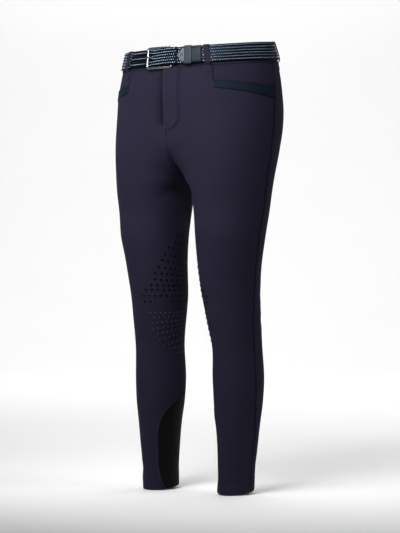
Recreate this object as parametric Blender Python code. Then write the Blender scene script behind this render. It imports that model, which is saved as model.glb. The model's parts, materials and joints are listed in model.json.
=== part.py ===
"""Riding breeches with their belt, filled out to the form in which they are worn.

Metres, +Z up. The front faces -Y and the wearer's left is at +X. The origin is at the middle of the
waist opening. Every cloth piece is a thin wall on one form, which the table of sections gives. A place
on the form is named by its height and by an angle round the half that it belongs to: 0 at the side,
-90 at the front, 90 at the back, and 180 on the centre line or at the inside of the leg.
"""

import math
from collections import namedtuple
from functools import lru_cache

import bmesh
import bpy
import numpy as np

MM = 0.001

# Cloth
CLOTH = 1.5 * MM  # wall of a panel
SEAM_GAP = 0.2 * MM  # what each piece keeps from the line of its seam
REST_GAP = 0.3 * MM  # between a piece and what it lies on
TILT_AT_WAIST = 0.095  # rise of the waist from front to back, per metre of depth
TILT_ACROSS = 0.016  # rise of the waist from the wearer's right to the left
TILT_AT_HEM = 0.1  # rise of each hem from front to back
HEM_TILT_HEIGHT = 0.09  # how far above the hem that rise begins

# Heights
WAISTBAND_TOP = -1.5 * MM
WAISTBAND_FOOT = -42 * MM
PANEL_TOP = -42.5 * MM
CROTCH = -262 * MM
HEM = -894 * MM
FRONT_RISE_END = -195 * MM  # where the centre front starts to turn under
BACK_RISE_END = -135 * MM
INSEAM_TURN_END = -400 * MM  # below this the inseam runs behind the inside of the leg
INSEAM_ANGLE = 148
CLEFT = 0.3  # how early the thighs part in front of the centre line, less being earlier
FULL_BY = -262 * MM  # down to here the fronts are full at the inner thigh
ROUND_BY = -400 * MM  # below here their section is an ellipse
FULLNESS = 0.6  # what the full section adds to the power of the ellipse
FLAT_SEAM_TURN = 0.12  # angle round the waist that a waistband half keeps from its seam

Section = namedtuple("Section", "z half_width lobe y_front y_side y_back inner_x inner_y seam")

# half_width: reach from the centre plane. lobe: where front and back reach furthest. seam: angle of the
# side seam. inner_x and inner_y: the inside of the leg, which starts on the centre plane at the crotch.
SECTIONS = tuple(
    Section(row[0] * MM, *(value * MM for value in row[1:8]), row[8])
    for row in (
        (0, 160.5, 0, -118, 0, 93.5, 0, 5, 0),
        (-45, 172, 0, -124, 0, 111.5, 0, 5, 0),
        (-90, 178, 20, -126, -2, 124, 0, 5, 0),
        (-130, 179, 40, -124, -4, 129, 0, 5, 0),
        (-170, 178.5, 60, -123, -6, 117, 0, 5, 0),
        (-210, 176, 79, -120, -10, 95.5, 0, 4, 0),
        (-262, 171.6, 89.8, -114.6, -16.8, 71.5, 0, -6, 0),
        (-290, 169, 91, -111.4, -19.3, 65, 17, -13.5, 0),
        (-333, 164.6, 92, -105, -21.5, 57, 22, -25, 0),
        (-382, 158, 91, -103.7, -26.7, 49, 24, -32, 0),
        (-430, 150, 88.7, -95.8, -24.8, 45, 27, -31, 0),
        (-503, 142.3, 86.8, -82.4, -17.4, 46.6, 31.3, -20, -3),
        (-552, 141.2, 89.7, -72.8, -12, 48.2, 38.2, -15, -8),
        (-601, 140.6, 93.1, -63.7, -6, 50.3, 45.6, -8, -11),
        (-674, 142.3, 94.3, -61, -3, 57, 46.3, -4, -10),
        (-723, 139.3, 94.1, -59.5, -4, 53.5, 48.9, -5, -6),
        (-759, 135.3, 94, -56.2, -4.5, 47.5, 52.7, -6, -3),
        (-808, 130.6, 93.4, -52.4, -5.4, 41.6, 56.2, -7, 0),
        (-857, 125.8, 91.8, -49.6, -6.2, 37, 57.8, -7, 0),
        (-900, 124.2, 90.8, -49.5, -7, 35.5, 57.4, -8, 0),
    )
)

# Calf insert: an arch of stretch cloth inside each lower leg
INSERT_TOP = -703 * MM
INSERT_ARCH = 85 * MM
INSERT_FRONT_ANGLE = 234
INSERT_BACK_ANGLE = 108
INSERT_WAIST = -840 * MM  # below this its front edge turns back towards the inside
INSERT_TURN = 22
ARCH_BEND = 0.65  # under 1, the arch opens faster near its top

# Pocket
POCKET_SIDE = 0.435  # share of the way from the centre front to the side seam
POCKET_CORNER = -72 * MM
POCKET_OUT = -90 * MM  # where the opening meets the side seam
TRIM_DEPTH_IN = 16 * MM
TRIM_DEPTH_OUT = 23 * MM
TRIM_THICK = 0.9 * MM
TRIM_LIFT = 0.6 * MM  # clears the flat faces of the panel under it
POCKET_BEND = 0.85  # under 1, the opening drops more slowly near the side seam

# Rows and columns of the leg panels
LEVEL_AGAIN = -400 * MM  # below this a row has one height all round
UNDER_ANGLES = (15, 30, 43, 54, 63, 71, 78, 84)
INSEAM_DROPS = (0.5, 4, 12, 26, 48, 80, 118)
ARCH_SHARES = (0.03, 0.10, 0.22, 0.38, 0.6)
FRONT_INNER, FRONT_OUTER, BACK_COLUMNS = 4, 7, 10
INSERT_COLUMNS, FACING_COLUMNS = 6, 5
FIXED_SHARE = 0.33  # share of the front whose columns the pocket opening leaves alone
SPLIT_START = -95 * MM  # above this, columns are spaced by length
SPLIT_END = -240 * MM  # below this, they keep their angles
TRIM_ROWS = 11

# Fly, as places across the front
FLY_EDGE = -5 * MM
FLY_STITCH = 34.5 * MM
FLY_STRAIGHT = -143 * MM
FLY_FOOT = -170 * MM
FLY_END_LEFT = 2 * MM  # where the J shaped end comes to its point
FLY_END_WIDTH = 3 * MM
FLY_THICK = 1.0 * MM

# Belt, as distances out from the cloth
BAND_OUT = 0.8 * MM
BELT_IN = 1.25 * MM
BELT_BASE = 2.6 * MM
RIB_HEIGHT = 1.2 * MM
RIBS = 6
GROOVE_SHARE = 0.2  # height of the grooves between ribs, as a share of a rib's
BELT_TOP = -1.5 * MM
BELT_HEIGHT = 35 * MM
LAP = BELT_BASE + RIB_HEIGHT + REST_GAP
BELT_START = -84.05
LIFT_START = 258.5
LIFT_END = 272
TAB_START = 280
STRAP_END = TAB_START - 0.25
TAB_END = 297.2
KEEPER_START = 285.2
KEEPER_END = 290.2
TAB_THICK = 2.6 * MM
TAB_EDGE = 0.3 * MM  # what the tab keeps inside the strap's edges
KEEPER_THICK = 1.5 * MM

# Buckle, as places across the front
BUCKLE_OUT_X = -41.5 * MM
BUCKLE_HINGE_X = 15 * MM
BUCKLE_HALF_HEIGHT = 19.6 * MM
BUCKLE_CORNER = 5 * MM
ROD_RADIUS = 1.7 * MM
HINGE_OUT = 3.0 * MM
BAR_OUT = 7.0 * MM
ROD_SIDES = 8
CORNER_TURNS = (0, 30, 60, 90)
BAR_PLACES = (-0.45, 0, 0.45)  # points of the top and foot bars, as shares of half their length
PRONG_THICK = 1.6 * MM

# Belt loops
LOOP_HALF_WIDTH = 6 * MM
LOOP_THICK = 1.4 * MM
LOOP_FOOT = -56 * MM
LOOP_SEWN_TO = -45.5 * MM  # above this it leaves the panel
LOOP_OUT_AT = -38.5 * MM  # and here it has reached the belt's face
LOOP_SLANT = 1 * MM  # how much lower its outer face turns than its inner face
LOOP_ROUND = 2 * MM
LOOP_MIDDLE = -20 * MM
LOOPS = {
    "loop_front_left": -59,
    "loop_side_left": 21,
    "loop_back": 90,
    "loop_side_right": 159,
    "loop_front_right": 230,
}

Colour = namedtuple("Colour", "rgb roughness metallic")
COLOURS = {
    "cloth": Colour((0.026, 0.022, 0.042), 0.72, 0.0),
    "insert": Colour((0.008, 0.008, 0.008), 0.62, 0.0),
    "trim": Colour((0.008, 0.016, 0.028), 0.5, 0.0),
    "plait": Colour((0.012, 0.020, 0.035), 0.3, 0.0),
    "leather": Colour((0.030, 0.038, 0.050), 0.35, 0.0),
    "metal": Colour((0.72, 0.73, 0.75), 0.2, 1.0),
}


def smooth(share):
    """0 at 0, 1 at 1, level at both ends."""
    share = min(max(share, 0.0), 1.0)
    return share * share * (3 - 2 * share)


@lru_cache(maxsize=None)
def section_at(z):
    """The table read at one height, with a smooth curve through its rows."""
    heights = np.array([-row.z for row in SECTIONS])
    values = np.array([row[1:] for row in SECTIONS])
    slopes = np.gradient(values, heights, axis=0)
    depth = min(max(-z, heights[0]), heights[-1])
    i = min(int(np.searchsorted(heights, depth, side="right")) - 1, len(heights) - 2)
    step = heights[i + 1] - heights[i]
    t = (depth - heights[i]) / step
    before = (2 * t**3 - 3 * t**2 + 1) * values[i] + (t**3 - 2 * t**2 + t) * step * slopes[i]
    after = (3 * t**2 - 2 * t**3) * values[i + 1] + (t**3 - t**2) * step * slopes[i + 1]
    read = Section(z, *(before + after))
    return read._replace(lobe=max(read.lobe, 0.0), inner_x=max(read.inner_x, 0.0))


def under_turn(z, rise_end):
    """How far the centre line has turned under, from 0 on the front or seat to 1 at the crotch."""
    share = min(max((rise_end - z) / (rise_end - CROTCH), 0.0), 1.0)
    return 1 - math.sqrt(1 - share * share)


def waist_share(z):
    """How far the waist's tilt is felt at this height, from 1 at the waist to 0 at the crotch."""
    return min(max(1 - z / CROTCH, 0.0), 1.0)


def tilt_at(z, y, y_middle):
    """What the rise of the waist or the hem adds to the height of a point."""
    waist = TILT_AT_WAIST * waist_share(z)
    hem = TILT_AT_HEM * smooth((HEM + HEM_TILT_HEIGHT - z) / HEM_TILT_HEIGHT)
    return waist * y + hem * (y - y_middle)


def fullness(z):
    """How much fuller than an ellipse the inner thigh is in front."""
    return FULLNESS * smooth((z - ROUND_BY) / (FULL_BY - ROUND_BY))


class Row:
    """The outline of one half at one height, by angle and by length."""

    def __init__(self, z):
        self.section = section_at(z)
        self.closed = z <= CROTCH
        reach = 360 if self.closed else 180
        self.angles = np.arange(-reach, reach + 0.5, 1.0)
        self.points = np.array([self.place(angle) for angle in self.angles])
        steps = np.linalg.norm(np.diff(self.points, axis=0), axis=1)
        self.lengths = np.concatenate([[0.0], np.cumsum(steps)])

    def place(self, angle):
        s = self.section
        if self.closed:
            angle = (angle + 180) % 360 - 180
        back = angle > 0
        y_reach = s.y_back if back else s.y_front
        turn = math.radians(abs(angle))
        if abs(angle) <= 90:
            x = s.lobe + (s.half_width - s.lobe) * math.cos(turn)
            y = s.y_side + (y_reach - s.y_side) * math.sin(turn)
        else:
            share = (abs(angle) - 90) / 90
            under = 1.0 if self.closed else under_turn(s.z, BACK_RISE_END if back else FRONT_RISE_END)
            y_in = y_reach + (s.inner_y - y_reach) * under
            quarter = math.radians(90 * share)
            power = 2 / (2 + (0 if back else fullness(s.z)))
            round_x = s.lobe - (s.lobe - s.inner_x) * math.sin(quarter)**power
            round_y = y_in + (y_reach - y_in) * max(math.cos(quarter), 0)**power
            flat_x = s.lobe + (s.inner_x - s.lobe) * share
            flat_y = y_reach + (y_in - y_reach) * smooth(share)
            cleft = under if back else under**CLEFT
            x = cleft * round_x + (1 - cleft) * flat_x
            y = cleft * round_y + (1 - cleft) * flat_y
        return x, y, s.z + tilt_at(s.z, y, s.y_side)

    def length_at(self, angle):
        return float(np.interp(angle, self.angles, self.lengths))

    def at_length(self, length):
        return np.array([np.interp(length, self.lengths, axis) for axis in self.points.T])

    def angle_at(self, length):
        return float(np.interp(length, self.lengths, self.angles))

    def at_angle(self, angle):
        return np.array([np.interp(angle, self.angles, axis) for axis in self.points.T])


@lru_cache(maxsize=None)
def row_at(z):
    return Row(z)


def on_form(z, angle, side):
    """A point of the left (1) or right (-1) half and the direction out of it."""
    reach = 1 * MM
    row = row_at(round(z, 6))
    length = row.length_at(angle)
    along = row.at_length(length + reach) - row.at_length(length - reach)
    higher = row_at(round(z + reach, 6)).at_angle(angle)
    lower = row_at(round(z - reach, 6)).at_angle(angle)
    out = np.cross(along, higher - lower)
    out /= np.linalg.norm(out)
    point = row.at_length(length) * [side, 1, 1]
    point[2] += TILT_ACROSS * point[0] * waist_share(z)
    return point, out * [side, 1, 1]


def moved_aside(pair, side):
    """A point and its direction, with the point clear of the centre plane."""
    return pair[0] + [side * SEAM_GAP, 0, 0], pair[1]


def inseam_angle(z):
    return 180 - (180 - INSEAM_ANGLE) * smooth((CROTCH - z) / (CROTCH - INSEAM_TURN_END))


def insert_spread(z):
    """How far the calf insert has opened, from 0 at its top to 1."""
    share = min(max((INSERT_TOP - z) / INSERT_ARCH, 0.0), 1.0)
    return (1 - (1 - share) ** 2) ** ARCH_BEND


def insert_turn(z):
    return INSERT_TURN * min(max((INSERT_WAIST - z) / (INSERT_WAIST - HEM), 0.0), 1.0) ** 2


def insert_front(z):
    """Angle of the insert's front edge, counted on past 180 at the inside of the leg."""
    return inseam_angle(z) + (INSERT_FRONT_ANGLE - INSEAM_ANGLE) * insert_spread(z) - insert_turn(z)


def insert_back(z):
    return inseam_angle(z) - (INSEAM_ANGLE - INSERT_BACK_ANGLE) * insert_spread(z)


def pocket_share(z):
    """Where the pocket opening is at this height, from the centre front (0) to the side seam (1)."""
    across = min(max((POCKET_CORNER - z) / (POCKET_CORNER - POCKET_OUT), 0.0), 1.0)
    return POCKET_SIDE + (1 - POCKET_SIDE) * across**POCKET_BEND


def split_share(z):
    """0 where columns are spaced by length, as on the pelvis, and 1 where they keep their angles."""
    return smooth((SPLIT_START - z) / (SPLIT_START - SPLIT_END))


def front_angles(z_side, z_inside):
    """Angles of the front panel's columns, from the centre front or the inseam to the side seam."""
    row = row_at(round(z_side, 6))
    start = -180 if z_inside > CROTCH else insert_front(z_inside) - 360
    first, last = row.length_at(start), row.length_at(row.section.seam)
    shares = spaced(0, FIXED_SHARE, FRONT_INNER + 1)
    shares += spaced(FIXED_SHARE, pocket_share(z_side), FRONT_OUTER + 1)[1:]
    by_length = [row.angle_at(first + (last - first) * share) for share in shares]
    by_angle = spaced(start, -90, FRONT_INNER + 1) + spaced(-90, row.section.seam, FRONT_OUTER + 1)[1:]
    return blended(by_length, by_angle, split_share(z_side))


def back_angles(z_side, z_inside):
    row = row_at(round(z_side, 6))
    end = 180 if z_inside > CROTCH else insert_back(z_inside)
    lengths = spaced(row.length_at(row.section.seam), row.length_at(end), BACK_COLUMNS + 1)
    by_length = [row.angle_at(length) for length in lengths]
    half = BACK_COLUMNS // 2
    by_angle = spaced(row.section.seam, 90, half + 1) + spaced(90, end, half + 1)[1:]
    return blended(by_length, by_angle, split_share(z_side))


def insert_angles(z_side, z_inside):
    return spaced(insert_back(z_side), insert_front(z_side), INSERT_COLUMNS + 1)


def facing_angles(z_side, z_inside):
    row = row_at(round(z_side, 6))
    first, last = row.length_at(-180), row.length_at(row.section.seam)
    opening = first + (last - first) * pocket_share(z_side)
    return [row.angle_at(length) for length in spaced(opening, last, FACING_COLUMNS + 1)]


def blended(first, second, share):
    return [(1 - share) * a + share * b for a, b in zip(first, second)]


def spaced(start, end, count):
    return list(np.linspace(start, end, count))


def grid_of(side, heights, angles_of):
    """Rows of points of the form. A row is given by its heights at the side and at the inside."""
    grid = []
    for z_side, z_inside in heights:
        angles = angles_of(z_side, z_inside)
        inside = max(abs(angles[0]), abs(angles[-1]), 91)
        line = []
        for k, angle in enumerate(angles):
            inward = smooth((abs(angle) - 90) / (inside - 90))
            z = z_side + (z_inside - z_side) * inward
            row = row_at(round(z, 6))
            edge = (k == 0) - (k == len(angles) - 1)
            on_centre = z_inside > CROTCH and abs(angle) >= 180
            if edge and not on_centre:
                angle = row.angle_at(row.length_at(angle) + edge * SEAM_GAP)
            line.append(moved_aside(on_form(z, angle, side), side))
        grid.append(line)
    return grid


def add_object(name, bm, colour):
    bmesh.ops.recalc_face_normals(bm, faces=bm.faces)
    mesh = bpy.data.meshes.new(name)
    bm.to_mesh(mesh)
    bm.free()
    mesh.shade_smooth()
    mesh.set_sharp_from_angle(angle=math.radians(50))
    obj = bpy.data.objects.new(name, mesh)
    bpy.context.scene.collection.objects.link(obj)
    material = bpy.data.materials.new(f"{name}_{colour}")
    material.use_nodes = True
    shader = material.node_tree.nodes["Principled BSDF"]
    look = COLOURS[colour]
    shader.inputs["Base Color"].default_value = (*look.rgb, 1)
    shader.inputs["Roughness"].default_value = look.roughness
    shader.inputs["Metallic"].default_value = look.metallic
    mesh.materials.append(material)
    return obj


def add_wall(name, inner, outer, colour):
    """A closed wall between two grids of points of the same size."""
    bm = bmesh.new()
    sheets = []
    for grid in (inner, outer):
        sheets.append([[bm.verts.new(point) for point in line] for line in grid])
    rows, columns = len(inner) - 1, len(inner[0]) - 1
    for sheet in sheets:
        for i in range(rows):
            for j in range(columns):
                bm.faces.new((sheet[i][j], sheet[i + 1][j], sheet[i + 1][j + 1], sheet[i][j + 1]))
    rim = [(0, j) for j in range(columns)]
    rim += [(i, columns) for i in range(rows)]
    rim += [(rows, j) for j in range(columns, 0, -1)]
    rim += [(i, 0) for i in range(rows, 0, -1)]
    for here, there in zip(rim, rim[1:] + rim[:1]):
        corners = [sheets[k][i][j] for k, (i, j) in ((0, here), (0, there), (1, there), (1, here))]
        bm.faces.new(corners)
    return add_object(name, bm, colour)


def moved_out(grid, distance):
    return [[point + out * distance for point, out in line] for line in grid]


def kept_clear(grid, side):
    """Points on their own side of the centre plane."""
    return [[np.array([side * max(side * x, SEAM_GAP), y, z]) for x, y, z in line] for line in grid]


def add_panel(name, side, grid, colour):
    inner = kept_clear(moved_out(grid, -CLOTH), side)
    outer = kept_clear(moved_out(grid, 0), side)
    add_wall(name, inner, outer, colour)


def add_sheet(name, grid, low, high, colour):
    """A wall from the distance low to the distance high, out from the points of a grid."""
    return add_wall(name, moved_out(grid, low), moved_out(grid, high), colour)


def panel_heights():
    """Rows of the leg panels, as heights at the side and at the centre line or the inside of the leg.

    They lie closer together at the pocket and the top of the insert, and on the centre line at the crotch.
    """
    pocket = spaced(PANEL_TOP, POCKET_CORNER, 3) + spaced(POCKET_CORNER, POCKET_OUT, 7)[1:]
    level = pocket + spaced(POCKET_OUT, FRONT_RISE_END, 4)[1:]
    rows = [(z, z) for z in level]
    turns = [math.radians(angle) for angle in UNDER_ANGLES]
    drop = CROTCH - FRONT_RISE_END
    inside = [FRONT_RISE_END + drop * math.sin(turn) for turn in turns]
    inside += [CROTCH - drop * MM for drop in INSEAM_DROPS]
    side = spaced(FRONT_RISE_END, LEVEL_AGAIN, len(inside) + 2)[1:-1]
    rows += list(zip(side, inside))
    arch = [INSERT_TOP - INSERT_ARCH * share for share in ARCH_SHARES]
    level = spaced(LEVEL_AGAIN, INSERT_TOP, 10) + arch
    level += spaced(INSERT_TOP - INSERT_ARCH, HEM, 5)[1:]
    return rows + [(z, z) for z in level]


def build_legs(side, tail):
    heights = panel_heights()
    add_panel("front" + tail, side, grid_of(side, heights, front_angles), "cloth")
    add_panel("back" + tail, side, grid_of(side, heights, back_angles), "cloth")
    insert = [pair for pair in heights if pair[0] < INSERT_TOP - 1 * MM]
    add_panel("calf_insert" + tail, side, grid_of(side, insert, insert_angles), "insert")


def build_pocket(side, tail):
    rows = spaced(PANEL_TOP, POCKET_CORNER, 3) + spaced(POCKET_CORNER, POCKET_OUT + 2 * MM, 6)[1:]
    facing = grid_of(side, [(z, z) for z in rows], facing_angles)
    add_sheet("pocket_facing" + tail, facing, -CLOTH, 0, "cloth")
    trim = []
    for across in spaced(0, 1, TRIM_ROWS):
        top = POCKET_CORNER + (POCKET_OUT - POCKET_CORNER) * across ** (1 / POCKET_BEND)
        depth = TRIM_DEPTH_IN + (TRIM_DEPTH_OUT - TRIM_DEPTH_IN) * across
        line = []
        for z in spaced(top - 1 * MM, top - depth, 4):
            row = row_at(round(z, 6))
            first, last = row.length_at(-180), row.length_at(row.section.seam) - SEAM_GAP
            share = POCKET_SIDE + (1 - POCKET_SIDE) * across
            line.append(on_form(z, row.angle_at(first + (last - first) * share), side))
        trim.append(line)
    add_sheet("pocket_trim" + tail, trim, TRIM_LIFT, TRIM_LIFT + TRIM_THICK, "trim")


def across_front(x, z):
    """A point of the front at a distance x to the wearer's left, and the direction out of it."""
    row = row_at(round(z, 6))
    near = row.angles <= -20
    length = float(np.interp(abs(x), row.points[near, 0], row.lengths[near]))
    return on_form(z, row.angle_at(length), -1 if x < 0 else 1)


def build_fly():
    grid = []
    for z in spaced(PANEL_TOP, FLY_STRAIGHT, 6) + spaced(FLY_STRAIGHT, FLY_FOOT, 6)[1:]:
        bend = min(max((FLY_STRAIGHT - z) / (FLY_STRAIGHT - FLY_FOOT), 0.0), 1.0)
        right = FLY_END_LEFT + (FLY_STITCH - FLY_END_LEFT) * math.sqrt(1 - bend * bend)
        left = FLY_EDGE * (1 - bend**3)
        right = max(right, left + FLY_END_WIDTH)
        grid.append([across_front(x, z) for x in spaced(left, right, 7)])
    add_sheet("fly_flap", grid, REST_GAP, REST_GAP + FLY_THICK, "cloth")


def on_waist(angle, z):
    """A point of the waist by its angle round the whole body, 0 at the wearer's left, 90 at the back."""
    angle = (angle + 180) % 360 - 180
    side = 1 if abs(angle) <= 90 else -1
    half = angle if side > 0 else math.copysign(180, angle) - angle
    return on_form(z, half, side)


def waist_turn(x):
    """The angle round the waist at which the front is x to the wearer's left."""
    return -math.degrees(math.acos(x / section_at(WAISTBAND_FOOT).half_width))


def build_waistband():
    edge = waist_turn(FLY_EDGE)
    gap = FLAT_SEAM_TURN
    for name, start, end in (
        ("waistband_left", edge + gap, 90 - gap),
        ("waistband_right", 90 + gap, edge + 360 - gap),
    ):
        grid = [
            [on_waist(angle, z) for angle in np.linspace(start, end, 25)]
            for z in spaced(WAISTBAND_TOP, WAISTBAND_FOOT, 3)
        ]
        add_sheet(name, grid, -CLOTH, BAND_OUT, "cloth")


def lift_at(angle):
    """How far the strap lies out from its first turn, where its end passes over its start."""
    return LAP * smooth((angle - LIFT_START) / (LIFT_END - LIFT_START))


def build_strap():
    """The strap is plain inside, and ribs run along its outside."""
    angles = spaced(BELT_START, LIFT_START, 70) + spaced(LIFT_START, STRAP_END, 9)[1:]
    inner, outer = [], []
    for angle in angles:
        low, high = [], []
        for step in range(2 * RIBS + 1):
            z = BELT_TOP - BELT_HEIGHT * step / (2 * RIBS)
            point, out = on_waist(angle, z)
            rib = RIB_HEIGHT if step % 2 else GROOVE_SHARE * RIB_HEIGHT
            low.append(point + out * (BELT_IN + lift_at(angle)))
            high.append(point + out * (BELT_IN + lift_at(angle) + BELT_BASE + rib))
        inner.append(low)
        outer.append(high)
    plain = [[line[0], line[-1]] for line in inner]
    add_ribbed("belt_strap", plain, outer, "plait")


def add_ribbed(name, plain, ribbed, colour):
    """A strap whose inside has two points across and whose outside has many."""
    bm = bmesh.new()
    inside = [[bm.verts.new(point) for point in line] for line in plain]
    outside = [[bm.verts.new(point) for point in line] for line in ribbed]
    last = len(ribbed[0]) - 1
    for i in range(len(plain) - 1):
        bm.faces.new((inside[i][0], inside[i][1], inside[i + 1][1], inside[i + 1][0]))
        for edge, place in ((0, 0), (1, last)):
            corners = (inside[i][edge], inside[i + 1][edge], outside[i + 1][place], outside[i][place])
            bm.faces.new(corners)
        for j in range(last):
            corners = (outside[i][j], outside[i][j + 1], outside[i + 1][j + 1], outside[i + 1][j])
            bm.faces.new(corners)
    for end in (0, -1):
        bm.faces.new([inside[end][0], *outside[end], inside[end][1]])
    return add_object(name, bm, colour)


def build_tab():
    grid = []
    for angle in spaced(TAB_START, TAB_END, 8):
        heights = spaced(BELT_TOP - TAB_EDGE, BELT_TOP - BELT_HEIGHT + TAB_EDGE, 4)
        grid.append([on_waist(angle, z) for z in heights])
    low = BELT_IN + LAP
    add_sheet("belt_tab", grid, low, low + TAB_THICK, "leather")


def add_bent_strip(name, start, end, outline, colour, columns=3):
    """A strip bent to an outline of (distance out, height) points, from one angle to another."""
    bm = bmesh.new()
    rings = []
    for angle in spaced(start, end, columns):
        ring = []
        for out_by, z in outline:
            point, out = on_waist(angle, min(z, 0))
            lift = np.array([0, 0, max(z, 0)])
            ring.append(bm.verts.new(point + out * out_by + lift))
        rings.append(ring)
    count = len(outline)
    for ring, other in zip(rings, rings[1:]):
        for k in range(count):
            bm.faces.new((ring[k], ring[(k + 1) % count], other[(k + 1) % count], other[k]))
    bm.faces.new(rings[0])
    bm.faces.new(rings[-1])
    return add_object(name, bm, colour)


def build_keeper():
    """The keeper holds the end of the strap down, over the top and bottom edges of both layers."""
    top = BELT_TOP + REST_GAP
    foot = BELT_TOP - BELT_HEIGHT - REST_GAP
    low = BELT_IN
    high = BELT_IN + LAP + TAB_THICK + REST_GAP
    rounded = 0.4 * KEEPER_THICK
    outline = (
        (low, top),
        (high, top),
        (high, foot),
        (low, foot),
        (low, foot - KEEPER_THICK),
        (high + KEEPER_THICK - rounded, foot - KEEPER_THICK),
        (high + KEEPER_THICK, foot - rounded),
        (high + KEEPER_THICK, top + rounded),
        (high + KEEPER_THICK - rounded, top + KEEPER_THICK),
        (low, top + KEEPER_THICK),
    )
    add_bent_strip("belt_keeper", KEEPER_START, KEEPER_END, outline, "leather")


def build_loops():
    """Each loop is sewn below the waistband, crosses the belt and folds over the top edge."""
    over = BELT_IN + BELT_BASE + RIB_HEIGHT + REST_GAP
    top = WAISTBAND_TOP + REST_GAP
    outline = (
        (REST_GAP, LOOP_FOOT),
        (REST_GAP, LOOP_SEWN_TO),
        (over, LOOP_OUT_AT),
        (over, top - LOOP_ROUND),
        (over - LOOP_ROUND / 2, top),
        (-CLOTH, top),
        (-CLOTH, top + LOOP_THICK),
        (over, top + LOOP_THICK),
        (over + LOOP_THICK, top - LOOP_ROUND / 4),
        (over + LOOP_THICK, LOOP_OUT_AT - LOOP_SLANT),
        (REST_GAP + LOOP_THICK, LOOP_SEWN_TO - LOOP_SLANT),
        (REST_GAP + LOOP_THICK, LOOP_FOOT),
    )
    for name, angle in LOOPS.items():
        section = section_at(LOOP_MIDDLE)
        turn = math.radians(angle)
        depth = section.y_back if math.sin(turn) > 0 else -section.y_front
        reach = math.hypot(section.half_width * math.sin(turn), depth * math.cos(turn))
        half = math.degrees(LOOP_HALF_WIDTH / reach)
        add_bent_strip(name, angle - half, angle + half, outline, "cloth")


def buckle_path():
    """Places (x, height, distance out) along the frame, round its four corners."""
    middle = BELT_TOP - BELT_HEIGHT / 2
    centre_x = (BUCKLE_OUT_X + BUCKLE_HINGE_X) / 2
    half_x = (BUCKLE_HINGE_X - BUCKLE_OUT_X) / 2
    path = []
    for corner, (sign_x, sign_z) in enumerate(((1, 1), (-1, 1), (-1, -1), (1, -1))):
        for turn in CORNER_TURNS:
            angle = math.radians(90 * corner + turn)
            x = centre_x + sign_x * (half_x - BUCKLE_CORNER) + BUCKLE_CORNER * math.cos(angle)
            rise = sign_z * (BUCKLE_HALF_HEIGHT - BUCKLE_CORNER) + BUCKLE_CORNER * math.sin(angle)
            path.append((x, middle + rise))
        if sign_x * sign_z > 0:
            bar = middle + sign_z * BUCKLE_HALF_HEIGHT
            path += [(centre_x - sign_x * share * half_x, bar) for share in BAR_PLACES]
        else:
            path.append((centre_x + sign_x * half_x, middle))
    return path


def front_place(x, z, out_by):
    point, out = across_front(x, min(z, 0))
    return point + out * out_by + np.array([0, 0, max(z, 0)])


def frame_out(x):
    share = (x - BUCKLE_HINGE_X) / (BUCKLE_OUT_X - BUCKLE_HINGE_X)
    return HINGE_OUT + (BAR_OUT - HINGE_OUT) * share


def build_buckle():
    places = [front_place(x, z, frame_out(x)) for x, z in buckle_path()]
    bm = bmesh.new()
    count, sides = len(places), ROD_SIDES
    rings = []
    depth = np.array([0, 1.0, 0])
    for i in range(count):
        along = places[(i + 1) % count] - places[i - 1]
        across = np.cross(along, depth)
        across /= np.linalg.norm(across)
        ring = []
        for k in range(sides):
            turn = 2 * math.pi * k / sides
            point = places[i] + ROD_RADIUS * (math.cos(turn) * across + math.sin(turn) * depth)
            ring.append(bm.verts.new(point))
        rings.append(ring)
    for i in range(count):
        ring, other = rings[i], rings[(i + 1) % count]
        for k in range(sides):
            bm.faces.new((ring[k], ring[(k + 1) % sides], other[(k + 1) % sides], other[k]))
    add_object("buckle_frame", bm, "metal")


def build_prong():
    """The prong's end rests on the outer bar and dips to the plaits behind it."""
    middle = BELT_TOP - BELT_HEIGHT / 2
    rest = BAR_OUT + ROD_RADIUS + REST_GAP
    strap = BELT_IN + BELT_BASE + RIB_HEIGHT + REST_GAP
    path = (  # places across the front, distance out and half width
        (BUCKLE_OUT_X - 4.5 * MM, rest + 0.1 * MM, 1.2 * MM),
        (BUCKLE_OUT_X - 2 * MM, rest, 1.7 * MM),
        (BUCKLE_OUT_X + 2.2 * MM, rest + 0.1 * MM, 1.9 * MM),
        (BUCKLE_OUT_X + 6 * MM, strap + 1.6 * MM, 1.9 * MM),
        (BUCKLE_OUT_X + 9 * MM, strap + 0.1 * MM, 1.9 * MM),
    )
    sheets = []
    for lift in (0, PRONG_THICK):
        sheets.append(
            [[front_place(x, middle + s * half, low + lift) for s in (-1, 1)] for x, low, half in path]
        )
    add_wall("buckle_prong", *sheets, "metal")


def main():
    for old in list(bpy.data.objects):
        bpy.data.objects.remove(old)
    for side, tail in ((-1, "_right"), (1, "_left")):
        build_legs(side, tail)
        build_pocket(side, tail)
    build_fly()
    build_waistband()
    build_strap()
    build_tab()
    build_keeper()
    build_loops()
    build_buckle()
    build_prong()


main()
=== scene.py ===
"""Riding breeches and their belt as they look: thin cloth over the solids' form, plaited leather and metal.

The form is the solids' own, read from the same table of sections. Metres, +Z up, the front at -Y and the
wearer's left at +X. A place on the form is a height and an angle round the half that it belongs to:
0 at the side, -90 at the front, 90 at the back, 180 on the centre line or at the inside of the leg.
"""

import json
import math
from collections import namedtuple
from functools import lru_cache

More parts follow.
